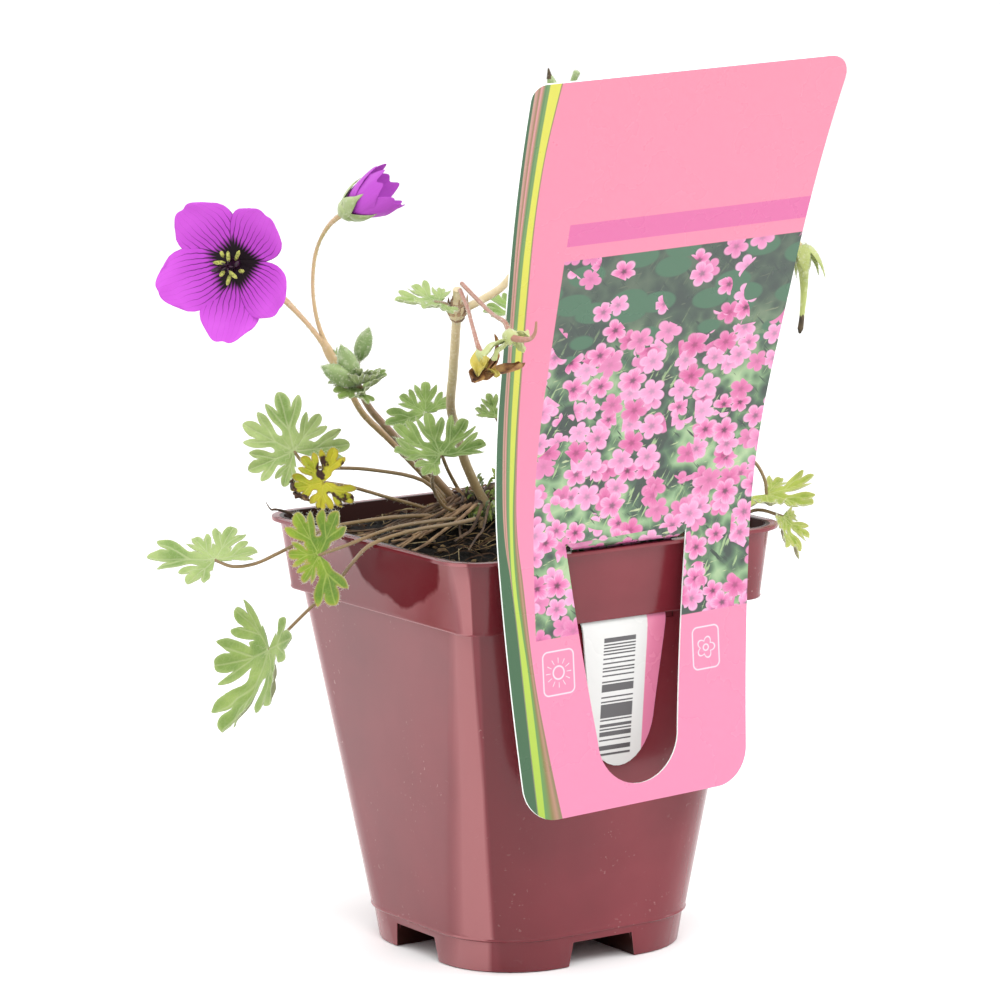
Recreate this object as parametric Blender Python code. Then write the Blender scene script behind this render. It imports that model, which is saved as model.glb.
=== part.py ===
"""A hardy geranium in its square nursery pot, with a die-cut plant label hooked on the rim.

The pot stands on its four feet with its axis on Z and its underside at z = 0. The label hangs
on the -Y side. The plant grows from a woody rootstock behind the pot's centre. All sizes and
places are in millimetres, and MM turns them into metres where a mesh or a curve is made.
"""

import math
import random

import bmesh
import bpy
from mathutils import Matrix, Vector, geometry, noise

MM = 0.001
GAP = 0.3
SMALLEST_BODY = 0.05

POT_HEIGHT = 97.8
POT_WALL = 1.0
RIM_HALF = 43.0
RIM_LIP = 1.8
LIP_THICK = 0.8
COLLAR_HEIGHT = 16.9
COLLAR_FOOT_HALF = 40.5
BODY_TOP_HALF = 39.4
BASE_LINE = 7.6
BASE_HALF = 31.3
FOOT_HALF = 30.3
TOP_CORNER = 8.9
COLLAR_FOOT_CORNER = 5.8
BASE_CORNER = 18.4
CHANNEL_HALF = 8.6
CHANNEL_HEIGHT = 5.6
CORNER_STEPS = 5

SOIL_EDGE = 93.0
SOIL_MOUND = 5.6
SOIL_MOUND_WIDTH = 17.0
CROWN = (1.0, 13.0)
ROOT_DEPTH = 5.0

CARD_THICK = 0.6
CARD_HALF = 34.0
CARD_TAPER_LEFT = 0.070
CARD_TAPER_RIGHT = 0.065
CARD_TOP = 113.7
CARD_BOTTOM = -57.8
CARD_TOP_CORNER = (3.5, 6.0)
CARD_BOTTOM_CORNER = 8.0
CARD_CENTRE_X = -3.0
CARD_RIM_Y = -46.1
CARD_ROLL = math.radians(1.74)
CARD_TURN = math.radians(1.15)
CARD_LEANS = (
    (-58.0, -4.0),
    (-39.0, -2.3),
    (-15.0, 0.5),
    (0.0, 2.0),
    (15.0, 9.4),
    (38.7, 18.0),
    (68.8, 18.1),
    (102.8, 24.6),
    (114.0, 26.0),
)
SLOT_ROOT = 3.2
SLOT_ROOT_HALF = 16.5
SLOT_END = (1.2, -42.4)
SLOT_END_RADIUS = 11.0
SLOT_WIDTH = 2.3
TONGUE_REACH = 12.4
TONGUE_SHIFT = 2.8
TONGUE_PATH = (
    (-46.2, 101.0),
    (-45.7, 99.8),
    (-44.6, 98.9),
    (-43.3, 98.55),
    (-42.2, 98.5),
    (-41.45, 98.0),
    (-41.3, 96.8),
    (-40.5, 91.8),
    (-39.6, 86.2),
    (-39.2, 82.6),
    (-39.3, 81.6),
    (-39.5, 80.8),
    (-39.85, 79.8),
    (-39.9, 78.4),
    (-39.6, 75.0),
    (-38.6, 66.0),
    (-37.6, 57.0),
    (-37.2, 53.4),
)

BLADE_THICK = 0.6
PETIOLE_RADIUS = 0.55

# Each outline runs over one lobe: (share of the half spacing, share of the lobe's length).
LEAF_LOBE = (
    (-0.58, 0.40),
    (-0.84, 0.66),
    (-0.84, 0.85),
    (-0.62, 0.90),
    (-0.40, 0.72),
    (-0.32, 0.92),
    (-0.10, 1.01),
    (0.14, 1.00),
    (0.35, 0.91),
    (0.41, 0.71),
    (0.62, 0.89),
    (0.84, 0.83),
    (0.84, 0.64),
    (0.58, 0.40),
)
PETAL_LOBE = (
    (-0.93, 0.50),
    (-0.98, 0.74),
    (-0.72, 0.95),
    (-0.34, 1.01),
    (0.00, 0.96),
    (0.34, 1.02),
    (0.72, 0.95),
    (0.98, 0.74),
    (0.93, 0.50),
)
SEPAL_LOBE = (
    (-0.72, 0.45),
    (-0.36, 0.80),
    (0.00, 1.00),
    (0.36, 0.80),
    (0.72, 0.45),
)


def clear_scene():
    for thing in list(bpy.data.objects):
        bpy.data.objects.remove(thing, do_unlink=True)


def finish_material(name, colour, roughness, metallic=0.0):
    material = bpy.data.materials.new(name)
    material.use_nodes = True
    shader = material.node_tree.nodes["Principled BSDF"]
    shader.inputs["Base Color"].default_value = (*colour, 1.0)
    shader.inputs["Roughness"].default_value = roughness
    shader.inputs["Metallic"].default_value = metallic
    return material


def new_object(name, mesh, material=None):
    thing = bpy.data.objects.new(name, mesh)
    bpy.context.scene.collection.objects.link(thing)
    if material:
        mesh.materials.clear()
        mesh.materials.append(material)
    mesh.shade_smooth()
    mesh.set_sharp_from_angle(angle=math.radians(35))
    return thing


def mesh_from(points, faces):
    """A mesh in metres from points in millimetres."""
    mesh = bpy.data.meshes.new("shape")
    mesh.from_pydata([Vector(point) * MM for point in points], [], faces)
    return mesh


def tidied(mesh):
    """The same mesh with its faces pointing out and split into triangles."""
    work = bmesh.new()
    work.from_mesh(mesh)
    bmesh.ops.remove_doubles(work, verts=work.verts, dist=0.00001 * MM)
    bmesh.ops.recalc_face_normals(work, faces=work.faces)
    bmesh.ops.triangulate(work, faces=work.faces)
    work.to_mesh(mesh)
    work.free()
    return mesh


def evaluated_mesh(thing):
    graph = bpy.context.evaluated_depsgraph_get()
    return bpy.data.meshes.new_from_object(thing.evaluated_get(graph))


def thickened(points, faces, thickness):
    """A closed blade made from an open sheet of triangles."""
    sheet = new_object("sheet", mesh_from(points, faces))
    solid = sheet.modifiers.new("thickness", "SOLIDIFY")
    solid.thickness = thickness * MM
    solid.offset = 0.0
    solid.use_rim = True
    mesh = evaluated_mesh(sheet)
    bpy.data.objects.remove(sheet, do_unlink=True)
    return tidied(mesh)


def without_pockets(mesh):
    """The same mesh without the tiny closed pockets that crossing blades can leave inside it."""
    work = bmesh.new()
    work.from_mesh(mesh)
    bmesh.ops.triangulate(work, faces=work.faces)
    waiting = set(work.faces)
    while waiting:
        island = {waiting.pop()}
        front = list(island)
        while front:
            for edge in front.pop().edges:
                fresh = [face for face in edge.link_faces if face in waiting]
                waiting.difference_update(fresh)
                island.update(fresh)
                front += fresh
        volume = 0.0
        for face in island:
            a, b, c = (vertex.co for vertex in face.verts)
            volume += a.dot(b.cross(c)) / 6
        if volume < SMALLEST_BODY * MM**3:
            bmesh.ops.delete(work, geom=list(island), context="FACES")
    work.to_mesh(mesh)
    work.free()
    return mesh


def fuse(name, meshes, material):
    """One object from closed meshes that overlap, by one Boolean union on a collection.

    The exact solver loses faces where many thin blades meet, so this uses the other one.
    """
    body = new_object(name, meshes[0], material)
    if len(meshes) == 1:
        return body
    helpers = bpy.data.collections.new(name + "_pieces")
    bpy.context.scene.collection.children.link(helpers)
    for mesh in meshes[1:]:
        helpers.objects.link(bpy.data.objects.new(name + "_piece", mesh))
    union = body.modifiers.new("union", "BOOLEAN")
    union.operation = "UNION"
    union.operand_type = "COLLECTION"
    union.solver = "MANIFOLD"
    union.collection = helpers
    joined = without_pockets(evaluated_mesh(body))
    body.modifiers.remove(union)
    joined.materials.clear()
    joined.materials.append(material)
    body.data = joined
    joined.shade_smooth()
    joined.set_sharp_from_angle(angle=math.radians(35))
    for piece in list(helpers.objects):
        bpy.data.objects.remove(piece, do_unlink=True)
    bpy.data.collections.remove(helpers)
    return body


def helper(name, mesh):
    """A hidden body that only adds to or cuts from another."""
    thing = bpy.data.objects.new(name, mesh)
    bpy.context.scene.collection.objects.link(thing)
    thing.hide_render = True
    thing.display_type = "WIRE"
    return thing


def combine(body, other, operation):
    step = body.modifiers.new(other.name, "BOOLEAN")
    step.operation = operation
    step.solver = "EXACT"
    step.object = other


def along(stations, place):
    """The value at a place on a list of (place, value) stations, in a straight line between them."""
    for (low, first), (high, second) in zip(stations, stations[1:]):
        if place <= high or (high, second) == stations[-1]:
            share = (place - low) / (high - low)
            return first + (second - first) * share


def smooth_path(points, steps):
    """Points along a smooth curve through the given ones."""
    route = [Vector(point) for point in points]
    ends = [2 * route[0] - route[1]] + route + [2 * route[-1] - route[-2]]
    path = []
    for a, b, c, d in zip(ends, ends[1:], ends[2:], ends[3:]):
        for step in range(steps):
            t = step / steps
            path.append(
                0.5
                * (2 * b + (c - a) * t + (2 * a - 5 * b + 4 * c - d) * t * t + (3 * b - a - 3 * c + d) * t**3)
            )
    return path + [route[-1]]


def stalk(points, radii, steps=2, rounding=0):
    """A tapering stem along points, its radius read evenly from the first radius to the last.

    It has four sides, and two more for each step of rounding.
    """
    path = smooth_path(points, steps)
    curve = bpy.data.curves.new("stalk", "CURVE")
    curve.dimensions = "3D"
    curve.bevel_depth = MM
    curve.bevel_resolution = rounding
    curve.use_fill_caps = True
    spline = curve.splines.new("POLY")
    spline.points.add(len(path) - 1)
    stations = [(i / (len(radii) - 1), radius) for i, radius in enumerate(radii)]
    for index, (place, point) in enumerate(zip(path, spline.points)):
        point.co = (*(place * MM), 1.0)
        point.radius = along(stations, index / (len(path) - 1))
    guide = bpy.data.objects.new("stalk", curve)
    bpy.context.scene.collection.objects.link(guide)
    mesh = evaluated_mesh(guide)
    bpy.data.objects.remove(guide, do_unlink=True)
    return tidied(mesh)


def placed(mesh, centre, aim, face):
    """Moves a mesh whose X points along its middle lobe and Z to its upper side."""
    ahead = (Vector(aim) - Vector(centre)).normalized()
    upper = Vector(face)
    upper = (upper - upper.dot(ahead) * ahead).normalized()
    side = upper.cross(ahead)
    turn = Matrix((ahead, side, upper)).transposed().to_4x4()
    mesh.transform(Matrix.Translation(Vector(centre) * MM) @ turn)
    return mesh


def star_sheet(lobe, lengths, spacing, palm, cup, fold, uneven, seed, closed=False):
    """A blade of lobes round one point, as one closed solid with its centre at the origin.

    palm is the undivided middle as a share of the longest lobe. cup is how far a lobe bends up
    over its length, in degrees, and uneven the random share of it. fold is how far a lobe's
    edges rise from its midrib, as a share of their distance out.
    """
    chance = random.Random(seed)
    count = len(lengths)
    step = math.radians(spacing)
    middle = (count - 1) / 2
    radius = max(lengths)
    palm_edge = palm * radius
    bends = [math.radians(cup) * chance.uniform(1 - uneven, 1 + uneven) for _ in lengths]

    def lifted(flat):
        out = flat.length
        place = math.atan2(flat.y, flat.x) / step + middle
        k = min(max(round(place), 0), count - 1)
        share = min(max(place - k, -0.5), 0.5)
        other = k + (1 if share > 0 else -1)
        beside = bends[other % count] if closed or 0 <= other < count else bends[k]
        blend = abs(share) * max(1 - 2 * max(out / palm_edge - 1, 0.0), 0.0)
        curl = (bends[k] * (1 - blend) + beside * blend) / radius
        reach = math.sin(curl * out) / (curl * out) if out else 1.0
        rise = (1 - math.cos(curl * out)) / curl + fold * out * 2 * abs(share)
        return (flat.x * reach, flat.y * reach, rise)

    def flat_point(angle, out):
        return Vector((out * math.cos(angle), out * math.sin(angle)))

    outline = []
    for k in range(count):
        angle = (k - middle) * step
        inner = 0.8 if k == 0 and not closed else 1.0
        outline.append(flat_point(angle - step / 2, palm_edge * inner))
        outline += [flat_point(angle + share * step / 2, out * lengths[k]) for share, out in lobe]
    if not closed:
        outline.append(flat_point((count - middle - 0.5) * step, palm_edge * 0.8))
        outline.append(Vector((0.0, 0.0)))
    points = list(outline)
    centre = len(points) - 1
    if closed:
        centre = len(points)
        points.append(Vector((0.0, 0.0)))
    midribs = []
    for k in range(count):
        angle = (k - middle) * step
        base = len(points)
        points += [flat_point(angle, palm_edge * 1.15), flat_point(angle, 0.6 * lengths[k])]
        midribs += [(centre, base), (base, base + 1)]
    rim = [list(range(len(outline)))]
    flat, _, faces, _, _, _ = geometry.delaunay_2d_cdt(points, midribs, rim, 1, 0.0001)
    return thickened([lifted(point) for point in flat], [tuple(face) for face in faces], BLADE_THICK)


def soil_height(x, y):
    """The compost's surface: level near the walls, mounded round the rootstock, a little rough."""
    away = (x - CROWN[0]) ** 2 + (y - CROWN[1]) ** 2
    mound = SOIL_MOUND * math.exp(-away / (2 * SOIL_MOUND_WIDTH**2))
    rough = 0.7 * noise.noise(Vector((x * 0.11, y * 0.11, 3.7)))
    return SOIL_EDGE + mound + rough


def rooted(x, y):
    """The first points of a stem that stands upright in the compost."""
    level = soil_height(x, y)
    return [(x, y, level - ROOT_DEPTH), (x, y, level + 0.6), (x, y, level + 2.2)]


def rounded_square(half, corner, z):
    ring = []
    for quarter in range(4):
        turn = quarter * math.pi / 2
        for step in range(CORNER_STEPS + 1):
            angle = turn + step / CORNER_STEPS * math.pi / 2
            middle = Vector((half - corner, half - corner, 0))
            middle.rotate(Matrix.Rotation(turn, 3, "Z"))
            ring.append((middle.x + corner * math.cos(angle), middle.y + corner * math.sin(angle), z))
    return ring


def loft(rings):
    """A closed body through rings with the same number of points, capped at both ends."""
    size = len(rings[0])
    points = [point for ring in rings for point in ring]
    faces = []
    for level in range(len(rings) - 1):
        for i in range(size):
            j = (i + 1) % size
            low, high = level * size, (level + 1) * size
            faces.append((low + i, low + j, high + j, high + i))
    faces.append(tuple(reversed(range(size))))
    faces.append(tuple(range((len(rings) - 1) * size, len(rings) * size)))
    return tidied(mesh_from(points, faces))


def plus_prism(arm, half, low, high):
    """A plus-shaped block, for the crossing channels under the pot."""
    outline = []
    for quarter in range(4):
        for x, y in ((arm, -half), (arm, half), (half, half)):
            turned = Vector((x, y, 0))
            turned.rotate(Matrix.Rotation(quarter * math.pi / 2, 3, "Z"))
            outline.append((turned.x, turned.y))
    return loft([[(x, y, low) for x, y in outline], [(x, y, high) for x, y in outline]])


def cylinder(x, y, low, high, radius, sides=8):
    ring = [
        (x + radius * math.cos(2 * math.pi * i / sides), y + radius * math.sin(2 * math.pi * i / sides))
        for i in range(sides)
    ]
    return loft([[(a, b, low) for a, b in ring], [(a, b, high) for a, b in ring]])


def block(low, high):
    (x0, y0, z0), (x1, y1, z1) = low, high
    ring = ((x0, y0), (x1, y0), (x1, y1), (x0, y1))
    return loft([[(x, y, z0) for x, y in ring], [(x, y, z1) for x, y in ring]])


def body_half(z):
    """Half the pot's width below the collar, at a height."""
    return along([(0.0, FOOT_HALF), (BASE_LINE, BASE_HALF), (POT_HEIGHT - COLLAR_HEIGHT, BODY_TOP_HALF)], z)


def body_corner(z):
    return along([(0.0, BASE_CORNER + 0.8), (BASE_LINE, BASE_CORNER), (POT_HEIGHT - COLLAR_HEIGHT, 9.8)], z)


def make_pot(material):
    ledge = POT_HEIGHT - COLLAR_HEIGHT
    under_lip = POT_HEIGHT - LIP_THICK
    floor = 1.2
    outside = [
        (FOOT_HALF, body_corner(0.0), 0.0),
        (BASE_HALF, BASE_CORNER, BASE_LINE),
        (body_half(44.0), body_corner(44.0), 44.0),
        (BODY_TOP_HALF, body_corner(ledge), ledge),
        (COLLAR_FOOT_HALF, COLLAR_FOOT_CORNER, ledge),
        (RIM_HALF - 0.1, TOP_CORNER, under_lip),
        (RIM_HALF + RIM_LIP, TOP_CORNER + RIM_LIP, under_lip),
        (RIM_HALF + RIM_LIP, TOP_CORNER + RIM_LIP, POT_HEIGHT),
    ]
    inside = [
        (RIM_HALF - POT_WALL, TOP_CORNER - POT_WALL, POT_HEIGHT),
        (COLLAR_FOOT_HALF - POT_WALL + 0.15, COLLAR_FOOT_CORNER - POT_WALL + 0.15, ledge + POT_WALL),
        (body_half(ledge) - POT_WALL, body_corner(ledge) - POT_WALL, ledge + POT_WALL),
        (body_half(44.0) - POT_WALL, body_corner(44.0) - POT_WALL, 44.0),
        (BASE_HALF - POT_WALL, BASE_CORNER - POT_WALL, BASE_LINE),
        (body_half(floor) - POT_WALL, body_corner(floor) - POT_WALL, floor),
    ]
    pot = new_object("pot", loft([rounded_square(*ring) for ring in outside + inside]), material)
    roof = plus_prism(FOOT_HALF - 0.4, CHANNEL_HALF + POT_WALL, 0.0, CHANNEL_HEIGHT + POT_WALL)
    combine(pot, helper("channel_roof", roof), "UNION")
    channel = plus_prism(FOOT_HALF + 5, CHANNEL_HALF, -1.0, CHANNEL_HEIGHT)
    combine(pot, helper("channel_cutter", channel), "DIFFERENCE")
    for index, (x, y, radius) in enumerate(((0, 0, 5), (18, 0, 3), (-18, 0, 3), (0, 18, 3), (0, -18, 3))):
        hole = cylinder(x, y, CHANNEL_HEIGHT - 1, CHANNEL_HEIGHT + 2, radius, 12)
        combine(pot, helper(f"drain_{index}", hole), "DIFFERENCE")
    combine(pot, helper("tongue_slot_cutter", slot_cutter()), "DIFFERENCE")
    return pot


def make_compost(material, stems):
    """The potting compost fills the pot, with a plain hole round every stem."""
    inset = POT_WALL + GAP
    ledge = POT_HEIGHT - COLLAR_HEIGHT
    low = 1.2 + GAP
    rings = [
        rounded_square(body_half(low) - inset, body_corner(low) - inset, low),
        rounded_square(BASE_HALF - inset, BASE_CORNER - inset, BASE_LINE),
        rounded_square(body_half(44.0) - inset, body_corner(44.0) - inset, 44.0),
        rounded_square(body_half(ledge) - inset, body_corner(ledge) - inset, ledge + POT_WALL + GAP),
        rounded_square(COLLAR_FOOT_HALF - inset, COLLAR_FOOT_CORNER - inset, ledge + POT_WALL + GAP),
    ]
    edge = rounded_square(RIM_HALF - inset - 0.8, TOP_CORNER - inset, 0.0)
    for share in (1.0, 0.82, 0.62, 0.42, 0.22):
        rings.append([(x * share, y * share, soil_height(x * share, y * share)) for x, y, _ in edge])
    compost = new_object("compost", loft(rings), material)
    core = plus_prism(FOOT_HALF + 5, CHANNEL_HALF + inset, -1.0, CHANNEL_HEIGHT + inset)
    combine(compost, helper("channel_core", core), "DIFFERENCE")
    pocket = block((-19.5, -45.0, ledge - 0.5), (16.5, -38.3, POT_HEIGHT + 4))
    combine(compost, helper("label_pocket", pocket), "DIFFERENCE")
    for index, (x, y, radius) in enumerate(stems):
        low = soil_height(x, y) - ROOT_DEPTH - GAP
        hole = cylinder(x, y, low, POT_HEIGHT + 12, radius + GAP)
        combine(compost, helper(f"stem_hole_{index}", hole), "DIFFERENCE")
    return compost


def card_profile():
    """Stations up the card: (distance from the rim, y, z), from its lean at each distance."""
    step = 0.5
    rows = {0.0: (CARD_RIM_Y, POT_HEIGHT)}
    for way in (1, -1):
        y, z = rows[0.0]
        for i in range(int(120 / step)):
            middle = way * (i + 0.5) * step
            lean = math.radians(along(CARD_LEANS, middle))
            y -= way * math.sin(lean) * step
            z += way * math.cos(lean) * step
            rows[way * (i + 1) * step] = (y, z)
    places = sorted(rows)
    return [(place, rows[place][0]) for place in places], [(place, rows[place][1]) for place in places]


CARD_Y, CARD_Z = card_profile()


def card_point(across, up):
    """A place on the bowed card, from its flat position measured from the middle of the rim line."""
    x = across * math.cos(CARD_ROLL) - up * math.sin(CARD_ROLL)
    height = across * math.sin(CARD_ROLL) + up * math.cos(CARD_ROLL)
    return (CARD_CENTRE_X + x, along(CARD_Y, height) + x * math.tan(CARD_TURN), along(CARD_Z, height))


def corner_inset(into, radius):
    """How far a rounded corner pulls the side in, at a distance into the corner."""
    return radius - math.sqrt(max(radius**2 - max(into, 0.0) ** 2, 0.0))


def card_sides(up):
    left = -CARD_HALF - CARD_TAPER_LEFT * up
    right = CARD_HALF + CARD_TAPER_RIGHT * up
    low = corner_inset(CARD_BOTTOM + CARD_BOTTOM_CORNER - up, CARD_BOTTOM_CORNER)
    high_left = corner_inset(up - CARD_TOP + CARD_TOP_CORNER[0], CARD_TOP_CORNER[0])
    high_right = corner_inset(up - CARD_TOP + CARD_TOP_CORNER[1], CARD_TOP_CORNER[1])
    return left + low + high_left, right - low - high_right


def slot_sides(up, width=0.0):
    """The two edges of the U-shaped cut, or of the tongue inside it when width is taken off."""
    middle, bend = SLOT_END
    radius = SLOT_END_RADIUS - width
    if up >= bend:
        share = (up - bend) / (SLOT_ROOT - bend)
        left = (middle - radius) * (1 - share) - (SLOT_ROOT_HALF - width) * share
        right = (middle + radius) * (1 - share) + (SLOT_ROOT_HALF - width) * share
        return left, right
    deep = TONGUE_REACH if width else SLOT_END_RADIUS
    reach = radius * math.sqrt(max(1 - ((bend - up) / deep) ** 2, 0.0))
    return middle - reach, middle + reach


def spread_between(first, last, count):
    return [first + (last - first) * i / count for i in range(count + 1)]


def tongue_rows():
    """The tongue's rows, (distance down from its root, y, z)."""
    rows = [(0.0, *TONGUE_PATH[0])]
    for (y0, z0), (y1, z1) in zip(TONGUE_PATH, TONGUE_PATH[1:]):
        rows.append((rows[-1][0] + math.hypot(y1 - y0, z1 - z0), y1, z1))
    down, y, z = rows[-1]
    slope = (0.11, 1.0)
    start = SLOT_ROOT - SLOT_END[1]
    for angle in (0, 25, 45, 65, 90):
        further = start + TONGUE_REACH * math.sin(math.radians(angle)) - down
        if further > 0.5:
            rows.append((down + further, y + slope[0] * further, z - slope[1] * further))
    return rows


def tongue_point(across, row):
    down, y, z = row
    return (CARD_CENTRE_X + across + TONGUE_SHIFT * min(down / 10.0, 1.0), y, z)


def strip(points, faces, first, second, flip=False):
    for i in range(len(first) - 1):
        a, b, c, d = first[i], first[i + 1], second[i + 1], second[i]
        for face in ((a, b, c), (a, c, d)):
            if len(set(face)) == 3:
                faces.append(tuple(reversed(face)) if flip else face)


def make_label(material):
    """One card: bowed, wider at its top, with a U-shaped cut that frees a tongue behind the rim."""
    columns = 2
    points = []
    faces = []

    def row(places):
        names = []
        for place in places:
            if points and names and (Vector(points[names[-1]]) - Vector(place)).length < 0.01:
                names.append(names[-1])
                continue
            names.append(len(points))
            points.append(place)
        return names

    corner = CARD_TOP_CORNER[1]
    upper = [CARD_TOP - corner * share for share in (0.0, 0.06, 0.3, 0.6, 1.0)]
    upper += [95.0, 82.0, 68.0, 54.0, 40.0, 30.0, 22.0, 15.0, 8.0, SLOT_ROOT]
    previous = None
    for up in upper:
        left, right = card_sides(up)
        slot_left, slot_right = slot_sides(max(min(up, SLOT_ROOT), SLOT_ROOT))
        places = spread_between(left, slot_left, columns)
        places += spread_between(slot_left, slot_right, columns)[1:]
        places += spread_between(slot_right, right, columns)[1:]
        current = row([card_point(across, up) for across in places])
        if previous:
            strip(points, faces, previous, current)
        previous = current
    left_leg = previous[: columns + 1]
    tongue_root = previous[columns : 2 * columns + 1]
    right_leg = previous[2 * columns :]
    bend = SLOT_END[1]
    lower = [-4.0, -14.0, -24.0, -34.0, bend]
    lower += [bend - SLOT_END_RADIUS * math.sin(math.radians(angle)) for angle in (25, 50, 70, 90)]
    for up in lower:
        left, right = card_sides(up)
        slot_left, slot_right = slot_sides(up)
        current_left = row([card_point(across, up) for across in spread_between(left, slot_left, columns)])
        if up == lower[-1]:
            current_right = [current_left[-1]]
            rest = spread_between(slot_right, right, columns)[1:]
            current_right += row([card_point(across, up) for across in rest])
        else:
            current_right = row([card_point(across, up) for across in spread_between(slot_right, right, columns)])
        strip(points, faces, left_leg, current_left)
        strip(points, faces, right_leg, current_right)
        left_leg, right_leg = current_left, current_right
    previous = left_leg + right_leg[1:]
    for up in (CARD_BOTTOM + 2.4, CARD_BOTTOM + 0.8, CARD_BOTTOM):
        left, right = card_sides(up)
        middle = SLOT_END[0]
        places = spread_between(left, middle, columns) + spread_between(middle, right, columns)[1:]
        current = row([card_point(across, up) for across in places])
        strip(points, faces, previous, current)
        previous = current
    previous = tongue_root
    for tongue_row in tongue_rows()[1:]:
        share = min(tongue_row[0] / 3.0, 1.0)
        edges = slot_sides(SLOT_ROOT - tongue_row[0], SLOT_WIDTH * share)
        current = row([tongue_point(across, tongue_row) for across in spread_between(*edges, columns)])
        strip(points, faces, previous, current)
        previous = current
    return new_object("plant_label", thickened(points, faces, CARD_THICK), material)


def slot_cutter():
    """The slot in the collar's step, as wide as the tongue and following it down and out."""
    reach = CARD_THICK / 2 + GAP
    left, right = (CARD_CENTRE_X + TONGUE_SHIFT + edge for edge in slot_sides(-14.0, SLOT_WIDTH - GAP))
    path = [(y, z) for y, z in TONGUE_PATH if 79.5 < z < 84.0]
    path = [(-39.15, 84.0)] + path + [(-39.95, 79.3)]
    front = [(y - reach, z) for y, z in path]
    back = [(y + reach, z) for y, z in reversed(path)]
    outline = front + back
    return loft([[(x, y, z) for y, z in outline] for x in (left, right)])


def bud(base, tip, width):
    """A closed bud, or a seed head's body: fat below its middle and drawn to a point."""
    a, b = Vector(base), Vector(tip)
    shape = ((0.0, 0.35), (0.16, 0.82), (0.4, 1.0), (0.66, 0.86), (0.87, 0.48), (1.0, 0.15))
    path = [a.lerp(b, share) for share, _ in shape]
    return stalk(path, [width / 2 * size for _, size in shape], 1, 1)


def calyx(centre, aim, radius, cup, seed):
    """Five pointed sepals; aim is the way the flower faces."""
    mesh = star_sheet(SEPAL_LOBE, [radius] * 5, 72.0, 0.22, cup, 0.0, 0.12, seed, closed=True)
    return facing(mesh, centre, aim)


def facing(mesh, centre, way, spin=0.0):
    """Moves a round mesh so that its Z points the given way."""
    turn = Vector(way).to_track_quat("Z", "Y").to_matrix().to_4x4()
    mesh.transform(Matrix.Translation(Vector(centre) * MM) @ turn @ Matrix.Rotation(math.radians(spin), 4, "Z"))
    return mesh


def leaf_mesh(centre, aim, face, lengths, seed, spacing=54.0, cup=20.0):
    blade = star_sheet(LEAF_LOBE, lengths, spacing, 0.25, cup, 0.1, 0.45, seed)
    return placed(blade, centre, aim, face)


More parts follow.
